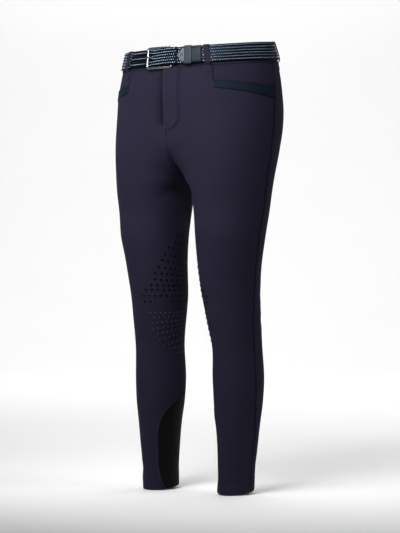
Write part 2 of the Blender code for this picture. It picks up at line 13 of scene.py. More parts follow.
import bpy
import numpy as np
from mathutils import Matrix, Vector

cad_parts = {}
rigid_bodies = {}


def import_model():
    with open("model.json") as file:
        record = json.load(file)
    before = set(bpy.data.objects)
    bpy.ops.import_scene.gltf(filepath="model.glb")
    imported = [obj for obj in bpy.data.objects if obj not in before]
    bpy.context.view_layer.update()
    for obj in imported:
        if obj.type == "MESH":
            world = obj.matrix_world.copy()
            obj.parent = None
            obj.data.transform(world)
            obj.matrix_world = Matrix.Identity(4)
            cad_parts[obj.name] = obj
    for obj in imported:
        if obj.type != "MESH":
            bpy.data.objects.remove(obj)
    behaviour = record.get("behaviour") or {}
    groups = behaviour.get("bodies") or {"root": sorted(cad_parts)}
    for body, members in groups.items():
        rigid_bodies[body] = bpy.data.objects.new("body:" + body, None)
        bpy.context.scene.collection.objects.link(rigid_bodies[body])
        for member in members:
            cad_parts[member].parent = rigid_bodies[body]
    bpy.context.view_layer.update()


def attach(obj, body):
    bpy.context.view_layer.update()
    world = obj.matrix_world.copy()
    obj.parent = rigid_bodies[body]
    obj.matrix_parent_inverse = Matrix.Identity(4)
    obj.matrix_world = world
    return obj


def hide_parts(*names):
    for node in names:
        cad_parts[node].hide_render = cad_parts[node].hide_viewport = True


MM = 0.001

# The form: the same values as the solids have
CLOTH = 1.5 * MM
SEAM_GAP = 0.2 * MM
REST_GAP = 0.3 * MM
TILT_AT_WAIST = 0.095
TILT_ACROSS = 0.016
TILT_AT_HEM = 0.1
HEM_TILT_HEIGHT = 0.09
WAISTBAND_TOP = -1.5 * MM
WAISTBAND_FOOT = -42 * MM
PANEL_TOP = -42.5 * MM
CROTCH = -262 * MM
HEM = -894 * MM
FRONT_RISE_END = -195 * MM
BACK_RISE_END = -135 * MM
INSEAM_TURN_END = -400 * MM
INSEAM_ANGLE = 148
FLAT_SEAM_TURN = 0.12
CLEFT = 0.3
FULL_BY = -262 * MM
ROUND_BY = -400 * MM
FULLNESS = 0.6

# z, half_width, lobe, y_front, y_side, y_back, inner_x, inner_y in millimetres, and the side seam's angle
SECTIONS = np.array(
    (
        (0, 160.5, 0, -118, 0, 93.5, 0, 5, 0),
        (-45, 172, 0, -124, 0, 111.5, 0, 5, 0),
        (-90, 178, 20, -126, -2, 124, 0, 5, 0),
        (-130, 179, 40, -124, -4, 129, 0, 5, 0),
        (-170, 178.5, 60, -123, -6, 117, 0, 5, 0),
        (-210, 176, 79, -120, -10, 95.5, 0, 4, 0),
        (-262, 171.6, 89.8, -114.6, -16.8, 71.5, 0, -6, 0),
        (-290, 169, 91, -111.4, -19.3, 65, 17, -13.5, 0),
        (-333, 164.6, 92, -105, -21.5, 57, 22, -25, 0),
        (-382, 158, 91, -103.7, -26.7, 49, 24, -32, 0),
        (-430, 150, 88.7, -95.8, -24.8, 45, 27, -31, 0),
        (-503, 142.3, 86.8, -82.4, -17.4, 46.6, 31.3, -20, -3),
        (-552, 141.2, 89.7, -72.8, -12, 48.2, 38.2, -15, -8),
        (-601, 140.6, 93.1, -63.7, -6, 50.3, 45.6, -8, -11),
        (-674, 142.3, 94.3, -61, -3, 57, 46.3, -4, -10),
        (-723, 139.3, 94.1, -59.5, -4, 53.5, 48.9, -5, -6),
        (-759, 135.3, 94, -56.2, -4.5, 47.5, 52.7, -6, -3),
        (-808, 130.6, 93.4, -52.4, -5.4, 41.6, 56.2, -7, 0),
        (-857, 125.8, 91.8, -49.6, -6.2, 37, 57.8, -7, 0),
        (-900, 124.2, 90.8, -49.5, -7, 35.5, 57.4, -8, 0),
    )
)
Section = namedtuple("Section", "half_width lobe y_front y_side y_back inner_x inner_y seam")

# Calf insert
INSERT_TOP = -703 * MM
INSERT_ARCH = 85 * MM
INSERT_FRONT_ANGLE = 234
INSERT_BACK_ANGLE = 108
INSERT_WAIST = -840 * MM
INSERT_TURN = 22
ARCH_BEND = 0.65

# Pocket
POCKET_SIDE = 0.435
POCKET_CORNER = -72 * MM
POCKET_OUT = -90 * MM
TRIM_DEPTH_IN = 16 * MM
TRIM_DEPTH_OUT = 23 * MM
POCKET_BEND = 0.85

# How finely the cloth is divided
FRONT_INNER, FRONT_OUTER, BACK_COLUMNS = 24, 36, 60
INSERT_COLUMNS, FACING_COLUMNS = 26, 30
ROW_STEP = 4.2 * MM
FIXED_SHARE = 0.33
SPLIT_START = -95 * MM
SPLIT_END = -240 * MM
LEVEL_AGAIN = -400 * MM
UNDER_ANGLES = (15, 30, 43, 54, 63, 71, 78, 84)
INSEAM_DROPS = (0.5, 4, 12, 26, 48, 80, 118)
ARCH_SHARES = (0.03, 0.10, 0.22, 0.38, 0.6)

# Fly
FLY_EDGE = -5 * MM
FLY_STITCH = 34.5 * MM
FLY_STRAIGHT = -143 * MM
FLY_FOOT = -170 * MM
FLY_END_LEFT = 2 * MM
FLY_END_WIDTH = 3 * MM

# Belt, with the angles on it round the whole waist: 0 at the wearer's left, 90 at the back
BAND_OUT = 0.8 * MM
BELT_IN = 1.25 * MM
BELT_BASE = 2.6 * MM
RIB_HEIGHT = 1.2 * MM
BELT_TOP = -1.5 * MM
BELT_HEIGHT = 35 * MM
BELT_MIDDLE = BELT_TOP - BELT_HEIGHT / 2
LAP = BELT_BASE + RIB_HEIGHT + REST_GAP
BELT_START = -84.05
LIFT_START, LIFT_END = 258.5, 272
TAB_START, TAB_END = 280, 297.2
STRAP_END = TAB_START - 0.25
KEEPER_START, KEEPER_END = 285.2, 290.2
TAB_THICK = 2.6 * MM
BUCKLE_OUT_X = -41.5 * MM
BUCKLE_HINGE_X = 15 * MM
BUCKLE_HALF_HEIGHT = 19.6 * MM
BUCKLE_CORNER = 5 * MM
ROD_RADIUS = 1.7 * MM
HINGE_OUT = 3.0 * MM
BAR_OUT = 7.0 * MM
LOOP_HALF_WIDTH = 6 * MM
LOOP_THICK = 1.4 * MM
LOOPS = {
    "loop_front_left": -59,
    "loop_side_left": 21,
    "loop_back": 90,
    "loop_side_right": 159,
    "loop_front_right": 230,
}


def smooth(share):
    """0 at 0, 1 at 1, level at both ends."""
    share = np.clip(share, 0.0, 1.0)
    return share * share * (3 - 2 * share)


def falling(distance, width):
    """1 at distance 0, 0 from the width on."""
    return 1 - smooth(distance / width)


def bump(distance, width):
    """1 at distance 0, fading to 0 past about twice the width."""
    return np.exp(-((distance / width) ** 2))


def clipped(share):
    return min(max(share, 0.0), 1.0)


def unit(vectors):
    return vectors / np.maximum(np.linalg.norm(vectors, axis=-1, keepdims=True), 1e-12)


def run_of(points):
    """The length along a path at each of its points."""
    return np.concatenate([[0.0], np.cumsum(np.linalg.norm(np.diff(points, axis=0), axis=1))])


def spaced(start, end, count):
    return list(np.linspace(start, end, count))


def sections_at(z):
    """The table read at these heights, with a smooth curve through its rows, in metres."""
    depths = -SECTIONS[:, 0]
    values = SECTIONS[:, 1:]
    slopes = np.gradient(values, depths, axis=0)
    depth = np.clip(-np.asarray(z, float) / MM, depths[0], depths[-1])
    i = np.clip(np.searchsorted(depths, depth, side="right") - 1, 0, len(depths) - 2)
    step = (depths[i + 1] - depths[i])[..., None]
    t = (depth - depths[i])[..., None] / step
    before = (2 * t**3 - 3 * t**2 + 1) * values[i] + (t**3 - 2 * t**2 + t) * step * slopes[i]
    after = (3 * t**2 - 2 * t**3) * values[i + 1] + (t**3 - t**2) * step * slopes[i + 1]
    read = before + after
    s = Section(*(read[..., k] * MM for k in range(7)), read[..., 7])
    return s._replace(lobe=np.maximum(s.lobe, 0), inner_x=np.maximum(s.inner_x, 0))


def under_turn(z, rise_end):
    share = np.clip((rise_end - z) / (rise_end - CROTCH), 0.0, 1.0)
    return 1 - np.sqrt(1 - share * share)


def waist_share(z):
    return np.clip(1 - z / CROTCH, 0.0, 1.0)


def place(z, angle):
    """Points of the left half at these heights and angles."""
    z, angle = np.broadcast_arrays(np.asarray(z, float), np.asarray(angle, float))
    s = sections_at(z)
    closed = z <= CROTCH
    angle = np.where(closed, (angle + 180) % 360 - 180, np.clip(angle, -180, 180))
    back = angle > 0
    y_reach = np.where(back, s.y_back, s.y_front)
    turn = np.radians(np.abs(angle))
    x_near = s.lobe + (s.half_width - s.lobe) * np.cos(turn)
    y_near = s.y_side + (y_reach - s.y_side) * np.sin(turn)
    share = np.clip((np.abs(angle) - 90) / 90, 0, 1)
    under = np.where(back, under_turn(z, BACK_RISE_END), under_turn(z, FRONT_RISE_END))
    under = np.where(closed, 1.0, under)
    y_in = y_reach + (s.inner_y - y_reach) * under
    quarter = np.radians(90 * share)
    power = 2 / (2 + np.where(back, 0.0, FULLNESS * smooth((z - ROUND_BY) / (FULL_BY - ROUND_BY))))
    round_x = s.lobe - (s.lobe - s.inner_x) * np.sin(quarter) ** power
    round_y = y_in + (y_reach - y_in) * np.maximum(np.cos(quarter), 0) ** power
    flat_x = s.lobe + (s.inner_x - s.lobe) * share
    flat_y = y_reach + (y_in - y_reach) * smooth(share)
    near = np.abs(angle) <= 90
    cleft = np.where(back, under, under**CLEFT)
    x = np.where(near, x_near, cleft * round_x + (1 - cleft) * flat_x)
    y = np.where(near, y_near, cleft * round_y + (1 - cleft) * flat_y)
    hem = TILT_AT_HEM * smooth((HEM + HEM_TILT_HEIGHT - z) / HEM_TILT_HEIGHT)
    rise = TILT_AT_WAIST * waist_share(z) * y + hem * (y - s.y_side)
    return np.stack([x, y, z + rise], axis=-1)


def on_form(z, angle, side):
    """Points of the left (1) or right (-1) half, and the directions out of them."""
    z, angle, side = np.broadcast_arrays(*(np.asarray(v, float) for v in (z, angle, side)))
    along = place(z, angle + 0.5) - place(z, angle - 0.5)
    up = place(z + MM, angle) - place(z - MM, angle)
    out = unit(np.cross(along, up))
    point = place(z, angle)
    point[..., 0] *= side
    point[..., 2] += TILT_ACROSS * point[..., 0] * waist_share(z)
    out[..., 0] *= side
    return point, out


@lru_cache(maxsize=None)
def outline(z):
    """Angles round one half at a height, the lengths round to them, and their points."""
    reach = 360 if z <= CROTCH else 180
    angles = np.arange(-reach, reach + 0.5, 1.0)
    points = place(z, angles)
    return angles, run_of(points), points


def length_at(z, angle):
    angles, lengths, _ = outline(round(z, 6))
    return float(np.interp(angle, angles, lengths))


def angle_at(z, length):
    angles, lengths, _ = outline(round(z, 6))
    return float(np.interp(length, lengths, angles))


def seam_angle(z):
    return float(sections_at(z).seam)


def inseam_angle(z):
    return 180 - (180 - INSEAM_ANGLE) * float(smooth((CROTCH - z) / (CROTCH - INSEAM_TURN_END)))


def insert_spread(z):
    return (1 - (1 - clipped((INSERT_TOP - z) / INSERT_ARCH)) ** 2) ** ARCH_BEND


def insert_front(z):
    turn = INSERT_TURN * clipped((INSERT_WAIST - z) / (INSERT_WAIST - HEM)) ** 2
    return inseam_angle(z) + (INSERT_FRONT_ANGLE - INSEAM_ANGLE) * insert_spread(z) - turn


def insert_back(z):
    return inseam_angle(z) - (INSEAM_ANGLE - INSERT_BACK_ANGLE) * insert_spread(z)


def pocket_share(z):
    across = clipped((POCKET_CORNER - z) / (POCKET_CORNER - POCKET_OUT))
    return POCKET_SIDE + (1 - POCKET_SIDE) * across**POCKET_BEND


def blended(z, by_length, by_angle):
    """A row's angles: even lengths at the waist, even angles from the thigh down."""
    share = float(smooth((SPLIT_START - z) / (SPLIT_START - SPLIT_END)))
    return [(1 - share) * a + share * b for a, b in zip(by_length, by_angle)]


def front_angles(z_side, z_inside):
    start = -180 if z_inside > CROTCH else insert_front(z_inside) - 360
    seam = seam_angle(z_side)
    first, last = length_at(z_side, start), length_at(z_side, seam)
    shares = spaced(0, FIXED_SHARE, FRONT_INNER + 1)
    shares += spaced(FIXED_SHARE, pocket_share(z_side), FRONT_OUTER + 1)[1:]
    by_length = [angle_at(z_side, first + (last - first) * share) for share in shares]
    by_angle = spaced(start, -90, FRONT_INNER + 1) + spaced(-90, seam, FRONT_OUTER + 1)[1:]
    return blended(z_side, by_length, by_angle)


def back_angles(z_side, z_inside):
    end = 180 if z_inside > CROTCH else insert_back(z_inside)
    seam = seam_angle(z_side)
    lengths = spaced(length_at(z_side, seam), length_at(z_side, end), BACK_COLUMNS + 1)
    by_length = [angle_at(z_side, length) for length in lengths]
    half = BACK_COLUMNS // 2
    by_angle = spaced(seam, 90, half + 1) + spaced(90, end, half + 1)[1:]
    return blended(z_side, by_length, by_angle)


def insert_angles(z_side, z_inside):
    return spaced(insert_back(z_side), insert_front(z_side), INSERT_COLUMNS + 1)


def facing_angles(z_side, z_inside):
    first, last = length_at(z_side, -180), length_at(z_side, seam_angle(z_side))
    opening = first + (last - first) * pocket_share(z_side)
    return [angle_at(z_side, length) for length in spaced(opening, last, FACING_COLUMNS + 1)]


def refined(pairs, step):
    """Pairs of heights with others between them, no further apart than the step."""
    fine = [pairs[0]]
    for (a, b), (c, d) in zip(pairs, pairs[1:]):
        count = max(1, math.ceil(max(abs(a - c), abs(b - d)) / step))
        fine += [(a + (c - a) * k / count, b + (d - b) * k / count) for k in range(1, count + 1)]
    return fine


def panel_heights():
    """The leg panels' rows, as heights at the side and at the centre line or the inside of the leg."""
    pocket = spaced(PANEL_TOP, POCKET_CORNER, 3) + spaced(POCKET_CORNER, POCKET_OUT, 13)[1:]
    rows = [(z, z) for z in pocket + spaced(POCKET_OUT, FRONT_RISE_END, 4)[1:]]
    drop = CROTCH - FRONT_RISE_END
    inside = [FRONT_RISE_END + drop * math.sin(math.radians(turn)) for turn in UNDER_ANGLES]
    inside += [CROTCH - below * MM for below in INSEAM_DROPS]
    side = spaced(FRONT_RISE_END, LEVEL_AGAIN, len(inside) + 2)[1:-1]
    rows += list(zip(side, inside))
    level = spaced(LEVEL_AGAIN, INSERT_TOP, 10)
    level += [INSERT_TOP - INSERT_ARCH * share for share in ARCH_SHARES]
    level += spaced(INSERT_TOP - INSERT_ARCH, HEM, 5)[1:]
    return refined(rows + [(z, z) for z in level], ROW_STEP)


class Grid:
    """Rows and columns of places on one half, with what is raised on them, how far in they lie, and the
    light and shade painted on them.
    """

    def __init__(self, point, out, side=1, z=None):
        self.point, self.out, self.side, self.z = point, out, side, z
        self.lift = np.zeros(point.shape[:2])
        self.tone = np.zeros(point.shape[:2])
        across = np.linalg.norm(np.diff(point, axis=1), axis=2)
        down = np.linalg.norm(np.diff(point, axis=0), axis=2)
        self.left = np.concatenate([np.zeros((len(point), 1)), np.cumsum(across, axis=1)], axis=1)
        self.top = np.concatenate([np.zeros((1, point.shape[1])), np.cumsum(down, axis=0)], axis=0)
        self.right = self.left[:, -1:] - self.left
        self.foot = self.top[-1:] - self.top
        self.rim = np.minimum(self.left, self.right)

    def area(self):
        first = self.point[1:, 1:] - self.point[:-1, :-1]
        second = self.point[1:, :-1] - self.point[:-1, 1:]
        return float(np.linalg.norm(np.cross(first, second), axis=-1).sum() / 2)

    def values(self):
        """Each place, its direction out and what is raised on it, as seven numbers."""
        return np.concatenate([self.point, self.out, self.lift[..., None]], axis=2)

    def moved(self, distance, lift=None):
        return self.point + self.out * ((self.lift if lift is None else lift) + distance)[..., None]


def grid_of(side, heights, angles_of):
    z_rows, angle_rows = [], []
    for z_side, z_inside in heights:
        angles = np.array(angles_of(z_side, z_inside))
        inside = max(abs(angles[0]), abs(angles[-1]), 91)
        z = z_side + (z_inside - z_side) * smooth((np.abs(angles) - 90) / (inside - 90))
        for k, step in ((0, 1), (-1, -1)):
            if not (z_inside > CROTCH and abs(angles[k]) >= 180):
                angles[k] = angle_at(z[k], length_at(z[k], angles[k]) + step * SEAM_GAP)
        z_rows.append(z)
        angle_rows.append(angles)
    z = np.array(z_rows)
    point, out = on_form(z, np.array(angle_rows), side)
    point[..., 0] += side * SEAM_GAP
    return Grid(point, out, side, z)


def grid_from(lines, side=1):
    """A grid from lines of (point, direction) pairs."""
    pairs = np.array([[(point, out) for point, out in line] for line in lines])
    return Grid(pairs[:, :, 0], pairs[:, :, 1], side)


def on_waist(angle, z):
    """Points of the waist by the angle round the whole body, 0 at the wearer's left, 90 at the back."""
    angle, z = np.broadcast_arrays(np.asarray(angle, float), np.asarray(z, float))
    angle = (angle + 180) % 360 - 180
    left = np.abs(angle) <= 90
    half = np.where(left, angle, np.copysign(180, angle) - angle)
    return on_form(z, half, np.where(left, 1.0, -1.0))


def across_front(x, z):
    """A point of the front at a distance x to the wearer's left, and the direction out of it."""
    angles, lengths, points = outline(round(z, 6))
    near = angles <= -20
    length = float(np.interp(abs(x), points[near, 0], lengths[near]))
    return on_form(z, angle_at(z, length), -1 if x < 0 else 1)


def raised(place_at, where, z, out_by):
    """Places of the waist or the front moved out, and up where they lie above the form."""
    point, out = place_at(where, min(z, 0.0))
    return point + out * out_by + np.array([0, 0, max(z, 0.0)])


# Creases: soft troughs over the form from one place to another, on the left (1) or right (-1) half. Heights
# and sizes in millimetres: the trough's width and depth, and how far its middle bows sideways.
Crease = namedtuple("Crease", "side z_from angle_from z_to angle_to width depth bow")
CREASES = [
    Crease(*row)
    for row in (
        # from the crotch up over the front of each thigh
        (1, -226, -172, -196, -108, 13, 0.7, 6),
        (1, -252, -170, -246, -104, 11, 0.5, -5),
        (1, -276, -176, -300, -122, 9, 0.8, 4),
        (-1, -222, -170, -188, -104, 14, 0.6, 7),
        (-1, -246, -168, -252, -106, 12, 0.5, -4),
        (-1, -280, -178, -310, -128, 9, 0.9, 5),
        # under the belt beside the fly
        (-1, -64, -150, -84, -118, 8, 0.8, 3),
        (1, -60, -128, -92, -104, 10, 0.7, -3),
        # under the seat, at the back of each thigh
        (1, -228, 62, -246, 142, 12, 2.2, -9),
        (1, -252, 84, -268, 146, 8, 1.3, -6),
        (-1, -224, 58, -248, 146, 13, 2.1, -8),
        (-1, -256, 92, -276, 148, 8, 1.4, -5),
        # front of the knee
        (1, -508, -122, -520, -62, 12, 0.8, 5),
        (-1, -512, -116, -500, -58, 13, 0.9, -4),
        # behind the knee
        (1, -498, 30, -516, 126, 9, 1.9, 7),
        (1, -528, 44, -522, 138, 7, 1.4, -6),
        (1, -552, 24, -568, 110, 8, 1.2, 5),
        (1, -486, 78, -470, 146, 7, 1.1, 4),
        (-1, -502, 24, -512, 120, 10, 1.8, 6),
        (-1, -534, 52, -524, 140, 7, 1.5, -5),
        (-1, -560, 34, -548, 104, 8, 1.1, 4),
        (-1, -482, 66, -474, 134, 7, 1.0, -4),
        # along the inside of the thigh
        (1, -300, 176, -392, 160, 11, 1.0, 5),
        (-1, -310, 178, -380, 158, 12, 1.1, -5),
        # above the ankle
        (1, -846, -60, -858, 10, 9, 0.7, 4),
        (1, -870, -150, -864, -70, 8, 0.6, -3),
        (1, -838, 30, -850, 100, 9, 0.8, 4),
        (-1, -852, -76, -844, 6, 9, 0.7, -4),
        (-1, -872, -140, -880, -64, 8, 0.5, 3),
        (-1, -842, 26, -856, 96, 9, 0.8, -4),
    )
]
CREASE_STEPS = 26


def add_creases(grid):
    """Sinks each crease into the grid and swells the cloth beside it, with painted shade in the trough and
    painted light on the swell.
    """
    places = grid.point.reshape(-1, 3)
    total = np.zeros(len(places))
    share = np.linspace(0, 1, CREASE_STEPS)
    for crease in CREASES:
        if crease.side != grid.side:
            continue
        width = crease.width * MM
        z = crease.z_from + (crease.z_to - crease.z_from) * share + crease.bow * np.sin(np.pi * share)
        angle = crease.angle_from + (crease.angle_to - crease.angle_from) * share
        line, _ = on_form(z * MM, angle, grid.side)
        low, high = line.min(axis=0) - 4 * width, line.max(axis=0) + 4 * width
        near = np.flatnonzero(((places > low) & (places < high)).all(axis=1))
        if not len(near):
            continue
        gaps = np.linalg.norm(places[near][:, None, :] - line[None, :, :], axis=2)
        nearest, gap = gaps.argmin(axis=1), gaps.min(axis=1)
        fade = np.sin(np.pi * np.clip(share[nearest], 0.02, 0.98)) ** 0.8
        swell = 0.45 * bump(gap - 1.9 * width, width) - bump(gap, width)
        total[near] += crease.depth * MM * fade * swell
    grid.lift += total.reshape(grid.lift.shape)
    # painted shade in each trough and painted light on the swells beside it
    grid.tone += np.clip(total.reshape(grid.lift.shape) / (2 * MM), -1, 1) * 0.35


def add_softness(grid, height):
    """A slow unevenness of the cloth, different on each panel."""
    phase = 1.7 * grid.side + 0.6
    x, y, z = np.moveaxis(grid.point, -1, 0)
    waves = np.sin(31 * z + 17 * x + phase) * np.sin(43 * x - 23 * y + 2 * phase)
    waves += 0.6 * np.sin(67 * z - 29 * y + 3 * phase) * np.sin(53 * y + 19 * x + phase)
    grid.lift += height * waves


def turn_edge(grid, distance, width=1.6 * MM, depth=0.55 * MM):
    """Rolls an edge of the cloth in towards its seam, with painted shade along it."""
    grid.lift -= depth * falling(distance, width)
    # painted shade along the rolled edge
    grid.tone -= 0.8 * falling(distance, 1.6 * width)


def link(obj):
    bpy.context.scene.collection.objects.link(obj)
    return obj


def finish_mesh(name, vertices, faces, material, uv=None, tone=None):
    mesh = bpy.data.meshes.new(name)
    mesh.from_pydata([tuple(v) for v in vertices], [], faces)
    mesh.validate()
    if uv is not None:
        layer = mesh.uv_layers.new(name="cloth")
        index = np.empty(len(mesh.loops), np.int32)
        mesh.loops.foreach_get("vertex_index", index)
        layer.data.foreach_set("uv", np.asarray(uv, np.float32)[index].ravel())
    # the light and shade painted on the mesh, which the materials lighten or darken their colour by
    if tone is not None:
        attribute = mesh.attributes.new("tone", "FLOAT", "POINT")
        attribute.data.foreach_set("value", np.asarray(tone, np.float32))
    mesh.materials.append(material)
    mesh.shade_smooth()
    mesh.set_sharp_from_angle(angle=math.radians(52))
    obj = link(bpy.data.objects.new(name, mesh))
    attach(obj, "root")
    return obj


def turned_out(obj):
    """Turns the faces of a closed mesh outwards."""
    mesh = obj.data
    mesh.calc_loop_triangles()
    points = np.empty(3 * len(mesh.vertices), np.float32)
    corners = np.empty(3 * len(mesh.loop_triangles), np.int32)
    mesh.vertices.foreach_get("co", points)
    mesh.loop_triangles.foreach_get("vertices", corners)
    a, b, c = points.reshape(-1, 3)[corners.reshape(-1, 3)].transpose(1, 0, 2)
    if (a * np.cross(b, c)).sum() < 0:
        mesh.flip_normals()
    return obj


def wall_faces(rows, columns):
    """Faces of a closed wall whose outer points come first and its inner points after them."""
    second = rows * columns
    i, j = np.meshgrid(np.arange(rows - 1), np.arange(columns - 1), indexing="ij")
    a = (i * columns + j).ravel()
    quads = np.stack([a, a + 1, a + columns + 1, a + columns], axis=1)
    faces = np.concatenate([quads, quads[:, ::-1] + second]).tolist()
    rim = [(0, j) for j in range(columns - 1)] + [(i, columns - 1) for i in range(rows - 1)]
    rim += [(rows - 1, j) for j in range(columns - 1, 0, -1)] + [(i, 0) for i in range(rows - 1, 0, -1)]
    for (i0, j0), (i1, j1) in zip(rim, rim[1:] + rim[:1]):
        k0, k1 = i0 * columns + j0, i1 * columns + j1
        faces.append([k1, k0, k0 + second, k1 + second])
    return faces


def add_wall(name, top, foot, material, tone, inner_painted_shading=0, uv=None):
    """A closed wall between two grids of points."""
    vertices = np.concatenate([top.reshape(-1, 3), foot.reshape(-1, 3)])
    # the painted light and shade, scaled on the inner side
    tone = np.concatenate([tone.ravel(), tone.ravel() * inner_painted_shading])
    if uv is not None:
        uv = np.concatenate([uv, uv])
    return turned_out(finish_mesh(name, vertices, wall_faces(*top.shape[:2]), material, uv, tone))


def stand_for(node):
    """Hides the solid that a piece takes the place of."""
    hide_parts(node)


def kept_clear(points, side):
    points[..., 0] = side * np.maximum(side * points[..., 0], SEAM_GAP)
    return points


def add_cloth(name, grid, material, node, outer=0.0, inner=-1.3 * MM, clear=False):
    """A thin closed shell over a grid of places."""
    top, foot = grid.moved(outer), grid.moved(inner, np.minimum(grid.lift, 0))
    if clear:
        top, foot = kept_clear(top, grid.side), kept_clear(foot, grid.side)
    uv = np.stack([grid.left.ravel(), grid.top.ravel()], axis=1)
    obj = add_wall(name, top, foot, material, grid.tone, uv=uv)
    stand_for(node)
    grid.area()


def circle(sides):
    turns = [2 * math.pi * k / sides for k in range(sides)]
    return [(math.cos(turn), math.sin(turn)) for turn in turns]


def tube_faces(rings, sides, closed=False):
    """Faces of a tube of rings of points, with flat ends unless it closes on itself."""
    faces = []
    for i in range(rings if closed else rings - 1):
        for k in range(sides):
            near, far, after = i * sides, (i + 1) % rings * sides, (k + 1) % sides
            faces.append([near + k, near + after, far + after, far + k])
    if not closed:
        faces.append(list(range(sides - 1, -1, -1)))
        faces.append([(rings - 1) * sides + k for k in range(sides)])
    return faces


class Gathered:
    """Many small closed forms, gathered into one piece."""

    def __init__(self):
        self.vertices, self.faces, self.painted_shadings = [], [], []

    def add(self, vertices, faces, painted_shadings=()):
        start = len(self.vertices)
        self.faces += [[v + start for v in face] for face in faces]
        self.vertices += list(vertices)
        self.painted_shadings += list(painted_shadings)

    def piece(self, name, material, slot):
        obj = finish_mesh(name, self.vertices, self.faces, material, tone=self.painted_shadings or None)
        return obj


# Stitches -----------------------------------------------------------------------------------------

# Rings of a stitch, as shares of its length and radius, and how far its middle lies over the cloth
STITCH_RINGS = ((-0.5, 0.45), (-0.28, 1.0), (0.28, 1.0), (0.5, 0.45))
STITCH_SIDES = 6
STITCH_RISE = 0.4


class Threads(Gathered):
    """All the stitching of one colour."""

    def sew(self, points, outs, pitch, radius, length=2.1 * MM):
        """Stitches along a path, each a short rounded thread."""
        points, outs = np.asarray(points), np.asarray(outs)
        run = run_of(points)
        middles = np.arange(pitch, run[-1] - pitch / 2, pitch)

        def at(distance, values):
            return np.stack([np.interp(distance, run, values[:, k]) for k in range(3)], axis=1)

        out = unit(at(middles, outs))
        along = unit(at(middles + MM, points) - at(middles - MM, points))
        across = np.cross(along, out)
        base = at(middles, points) + out * radius * STITCH_RISE
        faces = tube_faces(len(STITCH_RINGS), STITCH_SIDES)
        for k in range(len(middles)):
            vertices = []
            for share, size in STITCH_RINGS:
                for x, y in circle(STITCH_SIDES):
                    ring = across[k] * x + out[k] * y
                    vertices.append(base[k] + along[k] * length * share + ring * radius * size)
            self.add(vertices, faces)

    def sew_at(self, distance, values, inset, pitch, radius, lift):
        """Sews through the place of each line of a grid that lies a set distance in."""
        read = []
        for gaps, line in zip(distance, values):
            order = np.argsort(gaps)
            read.append([np.interp(inset, gaps[order], line[order, k]) for k in range(7)])
        read = np.array(read)
        outs = unit(read[:, 3:6])
        self.sew(read[:, :3] + outs * (read[:, 6:] + lift), outs, pitch, radius)

    def sew_inset(self, grid, distance, inset, pitch, radius, lift=0.0, rows=slice(None)):
        """Sews a line down a grid, at a set distance in from its left or right edge."""
        self.sew_at(distance[rows], grid.values()[rows], inset, pitch, radius, lift)

    def sew_sides(self, grid, *how):
        for distance in (grid.left, grid.right):
            self.sew_inset(grid, distance, *how)

    def sew_level(self, grid, distance, inset, pitch, radius, lift=0.0):
        """Sews a line round a grid, at a set distance from its top or its foot."""
        self.sew_at(distance.T, grid.values().swapaxes(0, 1), inset, pitch, radius, lift)


# Materials ----------------------------------------------------------------------------------------


def scaled(colour, share):
    return tuple(min(value * share, 1.0) for value in colour[:3]) + (1.0,)


